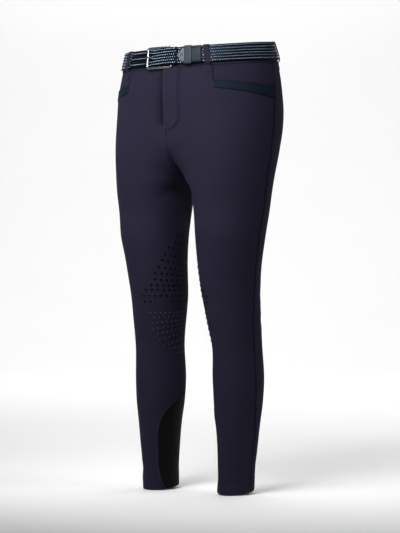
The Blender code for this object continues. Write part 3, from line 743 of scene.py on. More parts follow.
class Nodes:
    """A material's nodes, added one by one and joined by name."""

    def __init__(self, name):
        self.material = bpy.data.materials.new(name)
        self.material.use_nodes = True
        self.tree = self.material.node_tree
        self.shader = self.tree.nodes["Principled BSDF"]

    def add(self, kind, inputs=None, **settings):
        node = self.tree.nodes.new(kind)
        for key, value in settings.items():
            setattr(node, key, value)
        for key, value in (inputs or {}).items():
            self.give(node, key, value)
        return node

    def give(self, node, key, value):
        if isinstance(value, bpy.types.NodeSocket):
            self.tree.links.new(value, node.inputs[key])
        else:
            node.inputs[key].default_value = value

    def on_object(self):
        return self.add("ShaderNodeTexCoord").outputs["Object"]

    def on_cloth(self):
        return self.add("ShaderNodeUVMap", uv_map="cloth").outputs[0]

    # the light and shade painted on the mesh, as a value
    def tone(self, share=1.0):
        return self.times(self.add("ShaderNodeAttribute", attribute_name="tone").outputs["Fac"], share)

    def math(self, operation, first, second):
        node = self.add("ShaderNodeMath", operation=operation)
        self.give(node, 0, first)
        self.give(node, 1, second)
        return node.outputs[0]

    def times(self, value, share):
        return self.math("MULTIPLY", value, share)

    def plus(self, total, *values):
        for value in values:
            total = self.math("ADD", total, value)
        return total

    def mix(self, share, first, second):
        node = self.add("ShaderNodeMix", {0: share, 6: first, 7: second}, data_type="RGBA")
        return node.outputs[2]

    def span(self, value, low, high, to_low, to_high):
        inputs = dict(enumerate((value, low, high, to_low, to_high)))
        return self.add("ShaderNodeMapRange", inputs, clamp=True).outputs[0]

    def spread(self, noise, low, high):
        """A noise, whose values lie about 0.3 to 0.7, spread over a range."""
        return self.span(noise, 0.3, 0.7, low, high)

    def noise(self, vector, scale, detail=3.0, roughness=0.55):
        inputs = {"Vector": vector, "Scale": scale, "Detail": detail, "Roughness": roughness}
        return self.add("ShaderNodeTexNoise", inputs).outputs["Fac"]

    def turned(self, vector, degrees, scale=(1, 1, 1)):
        inputs = {"Vector": vector, "Rotation": (0, 0, math.radians(degrees)), "Scale": scale}
        return self.add("ShaderNodeMapping", inputs).outputs[0]

    def bands(self, vector, pitch, distortion):
        """Even ridges across the first direction of the vector, 0 to 1."""
        inputs = {"Vector": vector, "Scale": 2 * math.pi / (20 * pitch), "Distortion": distortion}
        node = self.add("ShaderNodeTexWave", inputs, wave_type="BANDS", bands_direction="X")
        return node.outputs["Fac"]

    def tinted(self, colour, depth, *tints):
        """The colour, darker or lighter by up to the depth as its tints add up to -1 or 1."""
        share = self.span(self.plus(*tints), -1, 1, 0, 1)
        return self.mix(share, scaled(colour, 1 - depth), scaled(colour, 1 + depth))

    def shaded(self, colour, noise, dark, light):
        return self.mix(self.spread(noise, 0, 1), scaled(colour, dark), scaled(colour, light))

    def finished(self, *bumps, **values):
        """Sets the shader and lays the bumps, each a (height, distance, strength), one over another."""
        for key, value in values.items():
            self.give(self.shader, key.replace("_", " "), value)
        below = {}
        for height, distance, strength in bumps:
            inputs = {"Height": height, "Distance": distance, "Strength": strength, **below}
            below = {"Normal": self.add("ShaderNodeBump", inputs).outputs[0]}
            self.give(self.shader, "Normal", below["Normal"])
        return self.material


def cloth_material(name, colour, twill=0.9 * MM, sheen=0.04, rough=0.85):
    """A dense stretch twill: fine slanting ribs, crossed by yarns, with a soft bloom."""
    n = Nodes(name)
    uv = n.on_cloth()
    ribs = n.bands(n.turned(uv, 58), twill, 0.6)
    yarns = n.bands(n.turned(uv, 0), 0.55 * twill, 0.4)
    weave = n.plus(n.times(ribs, 0.7), n.times(yarns, 0.3))
    fibres = n.noise(n.turned(uv, 20, (900, 2600, 1)), 1.0, 4)
    clouds = n.noise(n.on_object(), 14, 5, 0.6)
    tints = n.span(weave, 0, 1, -0.20, 0.20), n.spread(fibres, -0.14, 0.14), n.spread(clouds, -0.10, 0.10)
    return n.finished(
        (clouds, 1.5 * MM, 0.10),
        (weave, 0.12 * MM, 0.55),
        (fibres, 0.08 * MM, 0.35),
        # the painted light and shade lighten or darken the colour
        Base_Color=n.tinted(colour, 0.82, *tints, n.tone(0.38)),
        Roughness=n.spread(clouds, rough - 0.05, rough + 0.06),
        Sheen_Weight=sheen,
        Sheen_Roughness=0.6,
        Sheen_Tint=scaled(colour, 12.0),
        Specular_IOR_Level=0.07,
    )


def knit_material(name, colour):
    """A fine warp knit: upright wales crossed by small stitches."""
    n = Nodes(name)
    uv = n.on_cloth()
    wales = n.bands(n.turned(uv, 0), 1.3 * MM, 0.2)
    rows = n.bands(n.turned(uv, 90), 0.9 * MM, 0.5)
    loops = n.times(wales, n.plus(n.times(rows, 0.6), 0.4))
    fibres = n.noise(n.turned(uv, 10, (1500, 2500, 1)), 1.0, 3)
    clouds = n.noise(n.on_object(), 18, 4)
    # the last tint is the painted light and shade
    tints = n.span(loops, 0, 1, -0.30, 0.30), n.spread(clouds, -0.12, 0.12), n.tone(0.3)
    return n.finished(
        (clouds, 1.2 * MM, 0.08),
        (loops, 0.2 * MM, 0.6),
        (fibres, 0.05 * MM, 0.3),
        Base_Color=n.tinted(colour, 0.8, *tints),
        Roughness=n.spread(fibres, 0.62, 0.74),
        Sheen_Weight=0.03,
        Sheen_Roughness=0.5,
        Sheen_Tint=(0.5, 0.5, 0.47, 1),
        Specular_IOR_Level=0.06,
    )


def leather_material(name, colour, rough, gloss, grain=1500, highlit_crest=None):
    """Polished leather with a fine grain, with painted light where it stands out and painted shade in its
    grooves.
    """
    n = Nodes(name)
    place_in = n.on_object()
    cells = n.add("ShaderNodeTexVoronoi", {"Vector": place_in, "Scale": grain}).outputs["Distance"]
    pores = n.noise(place_in, grain * 1.7, 4)
    clouds = n.noise(place_in, 60, 5, 0.6)
    # the last tint is the painted light and shade
    tints = n.span(cells, 0, 0.7, 0.08, -0.18), n.spread(clouds, -0.16, 0.16), n.tone(0.5)
    base = n.tinted(colour, 0.85, *tints)
    # a pale colour painted on the crests as their highlight
    if highlit_crest:
        base = n.mix(n.span(n.tone(), 0.30, 0.75, 0, 1), base, (*highlit_crest, 1))
    return n.finished(
        (clouds, 0.5 * MM, 0.15),
        (cells, 0.10 * MM, 0.35),
        (pores, 0.04 * MM, 0.3),
        Base_Color=base,
        Roughness=n.plus(n.spread(clouds, rough - 0.06, rough + 0.08), n.tone(-0.05)),
        Specular_IOR_Level=gloss,
        IOR=1.28,
        Specular_Tint=(0.70, 0.87, 1.0, 1),
    )


def metal_material(name, colour, rough=0.22):
    """Brushed plated metal, dulled a little and finely scratched."""
    n = Nodes(name)
    place_in = n.on_object()
    brushed = n.noise(n.turned(place_in, 0, (300, 300, 4200)), 1.0, 4, 0.6)
    smears = n.noise(place_in, 90, 4, 0.55)
    scratches = n.bands(n.turned(place_in, 37), 2.6 * MM, 18)
    return n.finished(
        (brushed, 0.03 * MM, 0.35),
        (scratches, 0.01 * MM, 0.15),
        Base_Color=n.mix(n.span(smears, 0.3, 0.75, 0, 1), scaled(colour, 0.86), scaled(colour, 1.0)),
        Roughness=n.plus(n.spread(brushed, rough - 0.06, rough + 0.08), n.spread(smears, -0.03, 0.07)),
        Metallic=1.0,
    )


def thread_material(name, colour):
    """Twisted sewing thread."""
    n = Nodes(name)
    twist = n.noise(n.turned(n.on_object(), 30, (5000, 2500, 5000)), 1.0, 2)
    return n.finished(
        (twist, 0.05 * MM, 0.4),
        Base_Color=n.shaded(colour, twist, 0.65, 1.25),
        Roughness=n.spread(twist, 0.7, 0.85),
        Specular_IOR_Level=0.1,
    )


def silicone_material(name, colour, rough):
    """Small printed beads of soft rubber."""
    n = Nodes(name)
    specks = n.noise(n.on_object(), 900, 3)
    return n.finished(
        (specks, 0.04 * MM, 0.3),
        Base_Color=n.shaded(colour, specks, 0.8, 1.25),
        Roughness=n.spread(specks, rough - 0.05, rough + 0.05),
        Specular_IOR_Level=0.12,
        IOR=1.3,
    )


NAVY = (0.0100, 0.0085, 0.0180)
TAPE = (0.0030, 0.0062, 0.0120)
KNIT = (0.0018, 0.0018, 0.0018)
PLAIT = (0.0006, 0.0014, 0.0030)
# a pale blue painted on the plait's crests as their highlight
PAINTED_CREST_HIGHLIGHT = (0.360, 0.460, 0.640)
HIDE = (0.0024, 0.0036, 0.0052)
KEEPER_HIDE = (0.0155, 0.0195, 0.0260)
PAINTED_HIGHLIGHT_HIDE = (0.0650, 0.0740, 0.0900)
# the belt's point: pale, a highlight painted into its leather
STEEL = (0.50, 0.51, 0.54)
BLACK_RUBBER = (0.0003, 0.0003, 0.0005)
PALE_RUBBER = (0.0260, 0.0230, 0.0360)


def make_materials():
    return {
        "cloth": cloth_material("navy_twill", NAVY),
        # the loops: the cloth painted lighter, as lit
        "loop": cloth_material("loop_twill_painted_light", scaled(NAVY, 1.08)),
        # the pocket's inside: the cloth painted darker, as in shade
        "inside": cloth_material("pocket_twill_painted_shade", scaled(NAVY, 0.95)),
        "tape": cloth_material("edge_tape", TAPE, twill=0.7 * MM, sheen=0.03, rough=0.7),
        "knit": knit_material("calf_knit", KNIT),
        "thread": thread_material("navy_thread", scaled(NAVY, 1.35)),
        "dark_thread": thread_material("dark_thread", scaled(NAVY, 0.25)),
        "dots": silicone_material("grip_beads", BLACK_RUBBER, 0.5),
        "low_dots": silicone_material("grip_beads_lower", PALE_RUBBER, 0.40),
        "plait": leather_material("plaited_leather", PLAIT, rough=0.3, gloss=0.35, highlit_crest=PAINTED_CREST_HIGHLIGHT),
        "edge": leather_material("belt_edge_leather", PLAIT, rough=0.5, gloss=0.2),
        "hide": leather_material("belt_leather", HIDE, rough=0.45, gloss=0.3),
        "keeper": leather_material("keeper_leather", KEEPER_HIDE, rough=0.45, gloss=0.3),
        # the point's leather, painted pale as its highlight
        "pale": leather_material("belt_point_leather_painted_highlight", PAINTED_HIGHLIGHT_HIDE, rough=0.4, grain=1200, gloss=0.4),
        "steel": metal_material("plated_metal", STEEL),
        "dark_steel": metal_material("dark_plated_metal", scaled(STEEL, 0.08), rough=0.35),
    }


# The breeches -------------------------------------------------------------------------------------

HEM_FOLD = 27 * MM
TRIM_OUT = 1.35 * MM
FLY_OUT = 1.3 * MM
# Each bar of close stitches on the fly, from one (x, z) to another, in millimetres
FLY_BARS = (((32, -126), (32, -133)), ((-2, -156), (4, -160)))


def raise_hem(grid):
    """The doubled cloth of the hem, down from its stitch line, painted lighter on the fold with painted
    shade in the stitch groove.
    """
    above = grid.foot - HEM_FOLD
    fold = falling(above, 2 * MM)
    waves = np.sin(grid.left / (17 * MM) * 2 * math.pi + 1.3 * grid.side)
    grid.lift += (0.45 * MM + 0.18 * MM * waves * bump(above, 8 * MM)) * fold
    grid.lift -= 0.5 * MM * bump(above, 1.1 * MM)
    # painted light on the doubled fold and painted shade in the groove of the stitch line
    grid.tone += 0.25 * fold - 0.5 * bump(above, 1.3 * MM)
    grid.lift -= 0.5 * MM * falling(grid.foot, 1.5 * MM)


def dress_front(grid):
    on_rise = grid.z[:, :1] > CROTCH
    grid.lift -= 0.7 * MM * falling(grid.left, 2.2 * MM) * on_rise
    # painted shade along the inner seam
    grid.tone -= 0.9 * falling(grid.left, 2.6 * MM)
    grid.lift -= 0.5 * MM * falling(grid.left, 1.6 * MM) * ~on_rise
    turn_edge(grid, grid.right)
    # painted shade along the side seam
    grid.tone -= 1.5 * falling(grid.right, 3.2 * MM)
    raise_hem(grid)
    # the doubled cloth along the insert, painted lighter, with painted shade in the groove beside it
    below = grid.z[:, :1] < INSERT_TOP
    doubled = smooth(grid.left / (1.2 * MM)) * falling(grid.left - 5 * MM, 1.5 * MM)
    grid.lift += 0.8 * MM * doubled * below
    grid.tone += (0.8 * doubled - 0.5 * bump(grid.left - 7 * MM, 1.5 * MM)) * below


def sink_beside_fly(grid):
    """The right front, drawn in under the fly's free edge, with the fly's shadow painted on it, darker
    lower down.
    """
    x, _, z = np.moveaxis(grid.point, -1, 0)
    along = smooth((WAISTBAND_FOOT - z) / (12 * MM)) * smooth((z - FLY_FOOT + 2 * MM) / (16 * MM))
    near = np.exp(-np.maximum(FLY_EDGE - x, 0) / (10 * MM)) * along * (x < 40 * MM)
    grid.lift -= 1.4 * MM * near
    # painted shadow of the fly's edge, darker lower down
    grid.tone -= 3.4 * near * (0.75 + 0.25 * smooth((-80 * MM - z) / (50 * MM)))


def dress_back(grid):
    turn_edge(grid, grid.left, 1.3 * MM)
    # the seam allowances raise a strip beside the side seam, painted lighter, with painted shade in the
    # groove beside it and along the seam
    soft = 1.4 * MM
    strip = smooth((grid.left - 0.8 * MM) / soft) * falling(grid.left - 8.3 * MM, soft)
    grid.lift += 0.9 * MM * strip
    grid.tone += 0.55 * strip - 0.35 * bump(grid.left - 9 * MM, soft)
    grid.tone -= 1.3 * falling(grid.left, 1.8 * MM)
    turn_edge(grid, grid.right)
    raise_hem(grid)


def dress_insert(grid):
    add_softness(grid, 0.3 * MM)
    for distance in (grid.left, grid.right):
        turn_edge(grid, distance, 2.2 * MM, 0.6 * MM)
    raise_hem(grid)
    tucks = np.sin(grid.top / (11 * MM) * 2 * math.pi + 6 * grid.left / (40 * MM))
    grid.lift += 0.22 * MM * tucks * bump(grid.rim, 9 * MM)


def build_leg(side, tail, materials, threads, dark):
    heights = panel_heights()
    front, back = grid_of(side, heights, front_angles), grid_of(side, heights, back_angles)
    insert = grid_of(side, [pair for pair in heights if pair[0] < INSERT_TOP - 1 * MM], insert_angles)
    for grid in (front, back):
        add_softness(grid, 0.35 * MM)
        add_creases(grid)
    dress_front(front)
    if side < 0:
        sink_beside_fly(front)
    dress_back(back)
    dress_insert(insert)
    cloth = materials["cloth"]
    add_cloth("front_cloth" + tail, front, cloth, "front" + tail, clear=True)
    add_cloth("back_cloth" + tail, back, cloth, "back" + tail, clear=True)
    name = "calf_insert_cloth" + tail
    add_cloth(name, insert, materials["knit"], "calf_insert" + tail)
    for inset in (1.9 * MM, 7.2 * MM):
        threads.sew_inset(back, back.left, inset, 3.2 * MM, 0.3 * MM, rows=slice(0, None, 2))
    for grid in (front, back):
        dark.sew_level(grid, grid.foot, HEM_FOLD, 3.4 * MM, 0.34 * MM)
    threads.sew_level(insert, insert.foot, HEM_FOLD, 3.4 * MM, 0.3 * MM)
    along_insert = slice(int(np.argmax(front.z[:, 0] < INSERT_TOP - 2 * MM)), None)
    for inset in (1.6 * MM, 5.2 * MM):
        threads.sew_inset(front, front.left, inset, 3.0 * MM, 0.3 * MM, rows=along_insert)
    return front


def build_pocket(side, tail, materials, threads, dark):
    rows = spaced(PANEL_TOP, POCKET_CORNER, 9) + spaced(POCKET_CORNER, POCKET_OUT + 2 * MM, 14)[1:]
    facing = grid_of(side, [(z, z) for z in rows], facing_angles)
    add_softness(facing, 0.2 * MM)
    facing.lift -= 0.5 * MM * falling(facing.foot, 3 * MM)
    # painted shade at the facing's foot under the trim and along its edge, and a painted light line by its
    # stitching
    facing.tone -= 0.9 * falling(facing.foot, 2.5 * MM) + 0.5 * falling(facing.left, 3 * MM)
    facing.tone += 0.25 * bump(facing.top - 9 * MM, 2 * MM)
    name = "pocket_facing_cloth" + tail
    add_cloth(name, facing, materials["inside"], "pocket_facing" + tail)
    threads.sew_level(facing, facing.top, 9.5 * MM, 2.8 * MM, 0.3 * MM)

    lines = []
    for across in spaced(0, 1, 46):
        top = POCKET_CORNER + (POCKET_OUT - POCKET_CORNER) * across ** (1 / POCKET_BEND)
        depth = TRIM_DEPTH_IN + (TRIM_DEPTH_OUT - TRIM_DEPTH_IN) * across
        share = POCKET_SIDE + (1 - POCKET_SIDE) * across
        line = []
        for z in spaced(top - 0.3 * MM, top - depth, 15):
            first, last = length_at(z, -180), length_at(z, seam_angle(z)) - SEAM_GAP
            line.append(on_form(z, angle_at(z, first + (last - first) * share), side))
        lines.append(line)
    trim = grid_from(lines, side)
    add_softness(trim, 0.12 * MM)
    foot = falling(trim.right, 1.5 * MM)
    trim.lift += 0.35 * MM * (falling(trim.left, 2.2 * MM) - foot)
    # painted light on the tape's rolled edge and painted shade at its foot
    trim.tone += 0.5 * bump(trim.left - 0.6 * MM, 0.9 * MM) - 0.4 * foot
    name, node = "pocket_trim_tape" + tail, "pocket_trim" + tail
    add_cloth(name, trim, materials["tape"], node, TRIM_OUT, 0.35 * MM)
    for distance, inset in ((trim.left, 2.2 * MM), (trim.right, 1.3 * MM)):
        dark.sew_inset(trim, distance, inset, 2.8 * MM, 0.3 * MM, TRIM_OUT)


def fly_sides(z):
    """The fly's free edge and its sewn edge at a height: straight, then rounded to its foot."""
    bend = clipped((FLY_STRAIGHT - z) / (FLY_STRAIGHT - FLY_FOOT))
    free = FLY_EDGE * (1 - bend**3)
    sewn = FLY_END_LEFT + (FLY_STITCH - FLY_END_LEFT) * math.sqrt(1 - bend * bend)
    return free, max(sewn, free + FLY_END_WIDTH)


def build_fly(materials, dark):
    heights = spaced(PANEL_TOP, FLY_STRAIGHT, 34) + spaced(FLY_STRAIGHT, FLY_FOOT, 14)[1:]
    grid = grid_from([[across_front(x, z) for x in spaced(*fly_sides(z), 22)] for z in heights])
    left, right = grid.left, grid.right
    add_softness(grid, 0.25 * MM)
    grid.lift += 0.8 * MM * bump(left - 2 * MM, 3.5 * MM)
    grid.lift -= 0.5 * MM * falling(left, 1.0 * MM)
    grid.lift -= 0.75 * MM * falling(right - 0.4 * MM, 2.6 * MM)
    # painted light on the flap's raised free edge and painted shade in the groove by its stitching
    grid.tone += 0.5 * bump(left - 1.6 * MM, 1.6 * MM) - 0.35 * bump(right - 2.4 * MM, 1.2 * MM)
    add_cloth("fly_cloth", grid, materials["cloth"], "fly_flap", FLY_OUT, 0.25 * MM)
    for inset in (3.0 * MM, 6.2 * MM):
        dark.sew_inset(grid, right, inset, 2.7 * MM, 0.42 * MM, FLY_OUT, slice(0, 45))
    for start, end in FLY_BARS:
        xs, zs = (np.linspace(a, b, 12) * MM for a, b in zip(start, end))
        path = [across_front(x, z) for x, z in zip(xs, zs)]
        outs = [out for _, out in path]
        for shift in (-0.5 * MM, 0.0, 0.5 * MM):
            points = [point + out * 1.2 * MM + np.array([shift, 0, 0]) for point, out in path]
            dark.sew(points, outs, 1.1 * MM, 0.5 * MM, 1.4 * MM)


def build_waistband(materials, threads):
    edge = -math.degrees(math.acos(FLY_EDGE / float(sections_at(WAISTBAND_FOOT).half_width)))
    for name, start, end in (
        ("waistband_left", edge + FLAT_SEAM_TURN, 90 - FLAT_SEAM_TURN),
        ("waistband_right", 90 + FLAT_SEAM_TURN, edge + 360 - FLAT_SEAM_TURN),
    ):
        z = np.array(spaced(WAISTBAND_TOP, WAISTBAND_FOOT, 16))[:, None]
        grid = Grid(*on_waist(np.linspace(start, end, 130), z))
        add_softness(grid, 0.15 * MM)
        for distance in (grid.top, grid.foot, grid.left, grid.right):
            turn_edge(grid, distance, 1.4 * MM, 0.4 * MM)
        add_cloth(name + "_cloth", grid, materials["cloth"], name, BAND_OUT, -CLOTH)
        for distance in (grid.foot, grid.top):
            threads.sew_level(grid, distance, 2.6 * MM, 3.0 * MM, 0.32 * MM, BAND_OUT)


def loop_outline():
    """The loop's path up over the belt, as (distance out, height) points."""
    over = BELT_IN + BELT_BASE + RIB_HEIGHT + REST_GAP
    top = WAISTBAND_TOP + REST_GAP
    return (
        (REST_GAP, -56 * MM),
        (REST_GAP, -51 * MM),
        (REST_GAP, -45.5 * MM),
        (REST_GAP + 0.2 * MM, -42.4 * MM),
        (REST_GAP + 1.0 * MM, -40.6 * MM),
        (over - 1.3 * MM, -38.4 * MM),
        (over, -36.6 * MM),
        (over + 0.2 * MM, -32 * MM),
        (over + 0.25 * MM, -20 * MM),
        (over + 0.2 * MM, -9 * MM),
        (over, top - 2 * MM),
        (over - 0.7 * MM, top - 0.5 * MM),
        (over - 2.2 * MM, top),
        (over / 2, top),
        (-CLOTH, top),
    )


def rounded_path(path, count):
    """The path with its corners eased, as evenly spaced points."""
    path = np.array(path)
    run = run_of(path)
    at = np.linspace(0, run[-1], count * 4)
    fine = np.stack([np.interp(at, run, path[:, k]) for k in range(path.shape[1])], axis=1)
    for _ in range(6):
        fine[1:-1] = (fine[:-2] + fine[1:-1] + fine[2:]) / 3
    return fine[np.linspace(0, len(fine) - 1, count).astype(int)]


def build_loops(materials, threads):
    path = rounded_path(loop_outline(), 46)
    middle_z = -20 * MM
    s = sections_at(middle_z)
    for name, middle in LOOPS.items():
        turn = math.radians(middle)
        depth = float(s.y_back if math.sin(turn) > 0 else -s.y_front)
        reach = math.hypot(float(s.half_width) * math.sin(turn), depth * math.cos(turn))
        half = math.degrees(LOOP_HALF_WIDTH / reach)
        angles = np.linspace(middle + half, middle - half, 15)
        inner = np.array([raised(on_waist, angles, z, out_by) for out_by, z in path])
        out = unit(np.cross(np.gradient(inner, axis=1), np.gradient(inner, axis=0)))
        _, face = on_waist(middle, middle_z)
        if float(out[len(path) // 2, len(angles) // 2] @ face) < 0:
            out = -out
        grid = Grid(inner, out)
        rim = grid.rim
        grid.lift -= 0.4 * MM * falling(rim, 1.2 * MM) + 0.25 * MM * bump(rim - 2.4 * MM, 0.7 * MM)
        # painted light on the loop's rounded edges and painted shade in the groove by its stitching
        grid.tone += 0.3 * bump(rim - 1.2 * MM, 0.7 * MM) - 0.3 * bump(rim - 2.4 * MM, 0.8 * MM)
        add_cloth(name + "_cloth", grid, materials["loop"], name, LOOP_THICK, 0.0)
        threads.sew_sides(grid, 2.4 * MM, 2.8 * MM, 0.3 * MM, LOOP_THICK)


# Grip beads: each row's height and the angle where it starts at the front, and how far it falls on its way
# round to the inside of the leg, as a share of its length
GripRow = namedtuple("GripRow", "z start fall")
GRIP_ROWS = [
    GripRow(*row)
    for row in (
        (-381, -171, 0.24),
        (-395, -166, 0.24),
        (-405, -151.5, 0.22),
        (-419, -144.5, 0.20),
        (-431, -138.5, 0.17),
        (-445, -132, 0.13),
        (-457, -124, 0.09),
        (-470, -122, 0.06),
        (-481, -114, 0.03),
        (-491, -101.5, 0.01),
        (-503, -94.5, 0.0),
        (-515, -97, 0.0),
        (-538, -108.5, -0.02),
        (-548, -106, -0.06),
        (-559, -112.5, -0.10),
        (-571, -114.5, -0.16),
        (-581, -123.5, -0.22),
        (-592, -129, -0.26),
        (-604, -138, -0.28),
        (-611, -155.5, -0.15),
        (-619, -169, 0.0),
    )
]
GRIP_PITCH = 12 * MM
GRIP_TURN_LEFT = -16  # how much further inside the left leg's beads start
GRIP_LOWER = -530 * MM
LOWER_PITCH = 0.84 * GRIP_PITCH
BROKEN_ROW, BROKEN_TO = 11, 52 * MM  # this row has no beads from its third to here
BEAD_SIDES = 8
BEAD_RINGS = ((1.0, -0.12), (0.92, 0.4), (0.62, 0.82))  # share of the radius, share of the height


def bead(point, out, along, radius, height):
    """A low round bead on the cloth, as (vertices, faces)."""
    across = np.cross(out, along)
    vertices = []
    for size, rise in BEAD_RINGS:
        for x, y in circle(BEAD_SIDES):
            vertices.append(point + (along * x + across * y) * radius * size + out * height * rise)
    vertices.append(point + out * height)
    *faces, foot, top = tube_faces(len(BEAD_RINGS), BEAD_SIDES)
    faces += [[a, b, len(vertices) - 1] for a, b in zip(top, top[1:] + top[:1])]
    return vertices, faces + [foot]


def lift_near(grid, points):
    """How far the cloth is raised at the place of the grid nearest each point."""
    places = grid.point.reshape(-1, 3)
    nearest = [int(np.abs(places - point).sum(axis=1).argmin()) for point in points]
    return grid.lift.ravel()[nearest]


def build_grips(fronts, materials):
    """The beads on both knees: larger ones above, in slanting rows, and smaller paler ones below."""
    upper, lower = Gathered(), Gathered()
    for side, grid in fronts.items():
        for k, row in enumerate(GRIP_ROWS):
            z = row.z * MM
            if z > GRIP_LOWER:
                beads, size, rise, pitch = upper, 2.5 * MM, 0.8 * MM, GRIP_PITCH
            else:
                beads, size, rise, pitch = lower, 1.8 * MM, 1.1 * MM, LOWER_PITCH
            first = length_at(z, row.start + (GRIP_TURN_LEFT if side > 0 else 0))
            shift = np.arange(0, first - (length_at(z, inseam_angle(z) - 360) + 4 * MM), pitch)
            if k == BROKEN_ROW:
                shift = np.concatenate([shift[:2], shift[shift > BROKEN_TO]])
            if not len(shift):
                continue
            angles = np.array([angle_at(z, first - away) for away in shift])
            point, out = on_form(z - row.fall * shift, angles, side)
            along = unit(np.cross(out, [0, 0, 1.0]))
            base = point + out * (lift_near(grid, point) + 0.02 * MM)[:, None]
            for values in zip(base, out, along):
                beads.add(*bead(*values, size, rise))
    turned_out(upper.piece("grip_beads", materials["dots"], "insert"))
    turned_out(lower.piece("grip_beads_lower", materials["low_dots"], "insert"))


# The belt -----------------------------------------------------------------------------------------

PLAIT_ROWS = 6
PLAIT_WIDTH = 11.4 * MM
STRAND_PITCH = 4.6 * MM
STRAND_SIDES, STRAND_RINGS = 8, 7
OUTER_BAR = 256.6
PRESSED_START, PRESSED_END, PRESSED_TURN = 233, 252.5, 3
STRAP_STEPS = 620
TAB_OUT = BELT_IN + LAP
TAB_HALF = BELT_HEIGHT / 2 - 0.3 * MM


def lift_at(angle):
    return LAP * smooth((np.asarray(angle, float) - LIFT_START) / (LIFT_END - LIFT_START))


class Strap:
    """The belt's run round the waist, read by the length along it."""

    def __init__(self):
        self.angles = np.linspace(BELT_START, STRAP_END, 1400)
        point, out = on_waist(self.angles, BELT_MIDDLE)
        self.lengths = run_of(point + out * (BELT_IN + BELT_BASE + lift_at(self.angles))[:, None])
        self.total = float(self.lengths[-1])

    def angle_at(self, length):
        return np.interp(length, self.lengths, self.angles)

    def length_at(self, angle):
        return float(np.interp(angle, self.angles, self.lengths))

    def place(self, length, height, out_by):
        """Points of the strap: a length along it, a height from its middle and a distance out."""
        length, height, out_by = np.broadcast_arrays(length, height, out_by)
        angle = self.angle_at(length)
        point, out = on_waist(angle, BELT_MIDDLE + height)
        return point + out * (out_by + BELT_IN + lift_at(angle))[..., None]


def rib_height(height):
    """The rounding of the three plaits across the strap, 1 on their crests and 0 between them."""
    from_crest = (np.asarray(height) / PLAIT_WIDTH + 0.5) % 1 - 0.5
    return np.sqrt(np.maximum(1 - (2 * from_crest) ** 2, 0))


def pressed(angle):
    """Where the strap is pressed smooth, between the right loop and the buckle."""
    return smooth((angle - PRESSED_START) / PRESSED_TURN) * falling(angle - PRESSED_END, PRESSED_TURN)


def build_core(strap, materials):
    """The strap's body: with painted shade where it shows in the grooves between the plaits, and pressed
    smooth before the buckle with a painted highlight on its crests.
    """
    lengths = np.linspace(0, strap.total, STRAP_STEPS)[:, None]
    heights = np.linspace(BELT_HEIGHT / 2 - 0.6 * MM, -BELT_HEIGHT / 2 + 0.6 * MM, 61)[None, :]
    highlit_crest = bump((heights / PLAIT_WIDTH + 0.5) % 1 * PLAIT_WIDTH - PLAIT_WIDTH / 2, 0.8 * MM)
    smoothed = pressed(strap.angle_at(lengths))
    ribs = -0.6 * MM + smoothed * (1.5 * MM * rib_height(heights) ** 0.8 + 0.7 * MM * highlit_crest)
    top, foot = strap.place(lengths, heights, BELT_BASE + ribs), strap.place(lengths, heights, 0.0)
    # painted shade over the body, seen in the grooves, and a painted highlight on the pressed crests
    core = add_wall("belt_core", top, foot, materials["plait"], -0.5 + 1.15 * smoothed * highlit_crest)
    stand_for("belt_strap")


def strand_shape():
    """A rounded strand of unit length, width and height: its points along, across and up."""
    points = []
    for i in range(STRAND_RINGS):
        along = -0.5 + (i + 0.5) / STRAND_RINGS
        size = 0.5 * math.sqrt(max(1 - (2 * along) ** 2 * 0.94, 0.02)) ** 0.8
        points += [(along * 1.08, size * x, size * y) for x, y in circle(STRAND_SIDES)]
    return np.array(points).T


def row_middle(row, past):
    """A row's height on the strap, where the plaits part round the prong past the buckle's outer bar."""
    plait = 1 - row // 2
    half = PLAIT_WIDTH / 4 * (1 if row % 2 == 0 else -1)
    parted = float(smooth(abs(past) / (13 * MM))) if past > -3 * MM else 1.0
    if plait == 0:
        return half * (0.25 + 0.75 * parted)
    return plait * (PLAIT_WIDTH + 0.9 * MM * (1 - parted)) + half


def build_plait(strap, materials):
    """Six rows of slanting strands, each row leaning the other way from the next, as three flat plaits."""
    along, across, up = strand_shape()
    faces = tube_faces(STRAND_RINGS, STRAND_SIDES)
    length, width = along * 6.0 * MM, across * 3.9 * MM
    # one end of each strand tucks under the next
    tuck = 0.35 * MM - 1.1 * MM * smooth(along * 1.7 + 0.15)
    # where each strand's painted highlight lies
    highlit_crest = np.clip(2 * up, 0, 1) * np.clip(1 - np.abs(along) / 0.4, 0, 1)
    bar = strap.length_at(OUTER_BAR)
    plait = Gathered()
    for row in range(PLAIT_ROWS):
        for k in range(int(strap.total / STRAND_PITCH)):
            base = (k + 0.5 + 0.5 * (row % 2)) * STRAND_PITCH
            if base > strap.total - 2.2 * MM:
                continue
            wobble = 0.5 * math.sin(2.3 * k + 1.9 * row) + 0.5 * math.sin(0.71 * k + row)
            turn = math.radians(50 + 2 * wobble) * (1 if row % 2 else -1)
            run = base + length * math.cos(turn) - width * math.sin(turn)
            height = row_middle(row, base - bar) + length * math.sin(turn) + width * math.cos(turn)
            press = 1 - 0.7 * float(pressed(strap.angle_at(base)))
            dome = 1.3 * MM * (rib_height(np.clip(height, -16.5 * MM, 16.5 * MM)) - 1)
            out_by = BELT_BASE - 0.55 * MM + (up * 3.7 * MM + tuck + 0.08 * MM * wobble) * press + dome
            out_by = np.clip(out_by, 0.4 * MM, BELT_BASE + RIB_HEIGHT + 0.15 * MM)
            height = np.clip(height, -BELT_HEIGHT / 2, BELT_HEIGHT / 2)
            points = strap.place(np.clip(run, 0, strap.total), height, out_by)
            # painted highlight on each strand's crest and painted shade over the rest
            plait.add(points, faces, (-1.0 + 2.6 * highlit_crest**2.2) * press)
    turned_out(plait.piece("belt_plait", materials["plait"], "plait"))


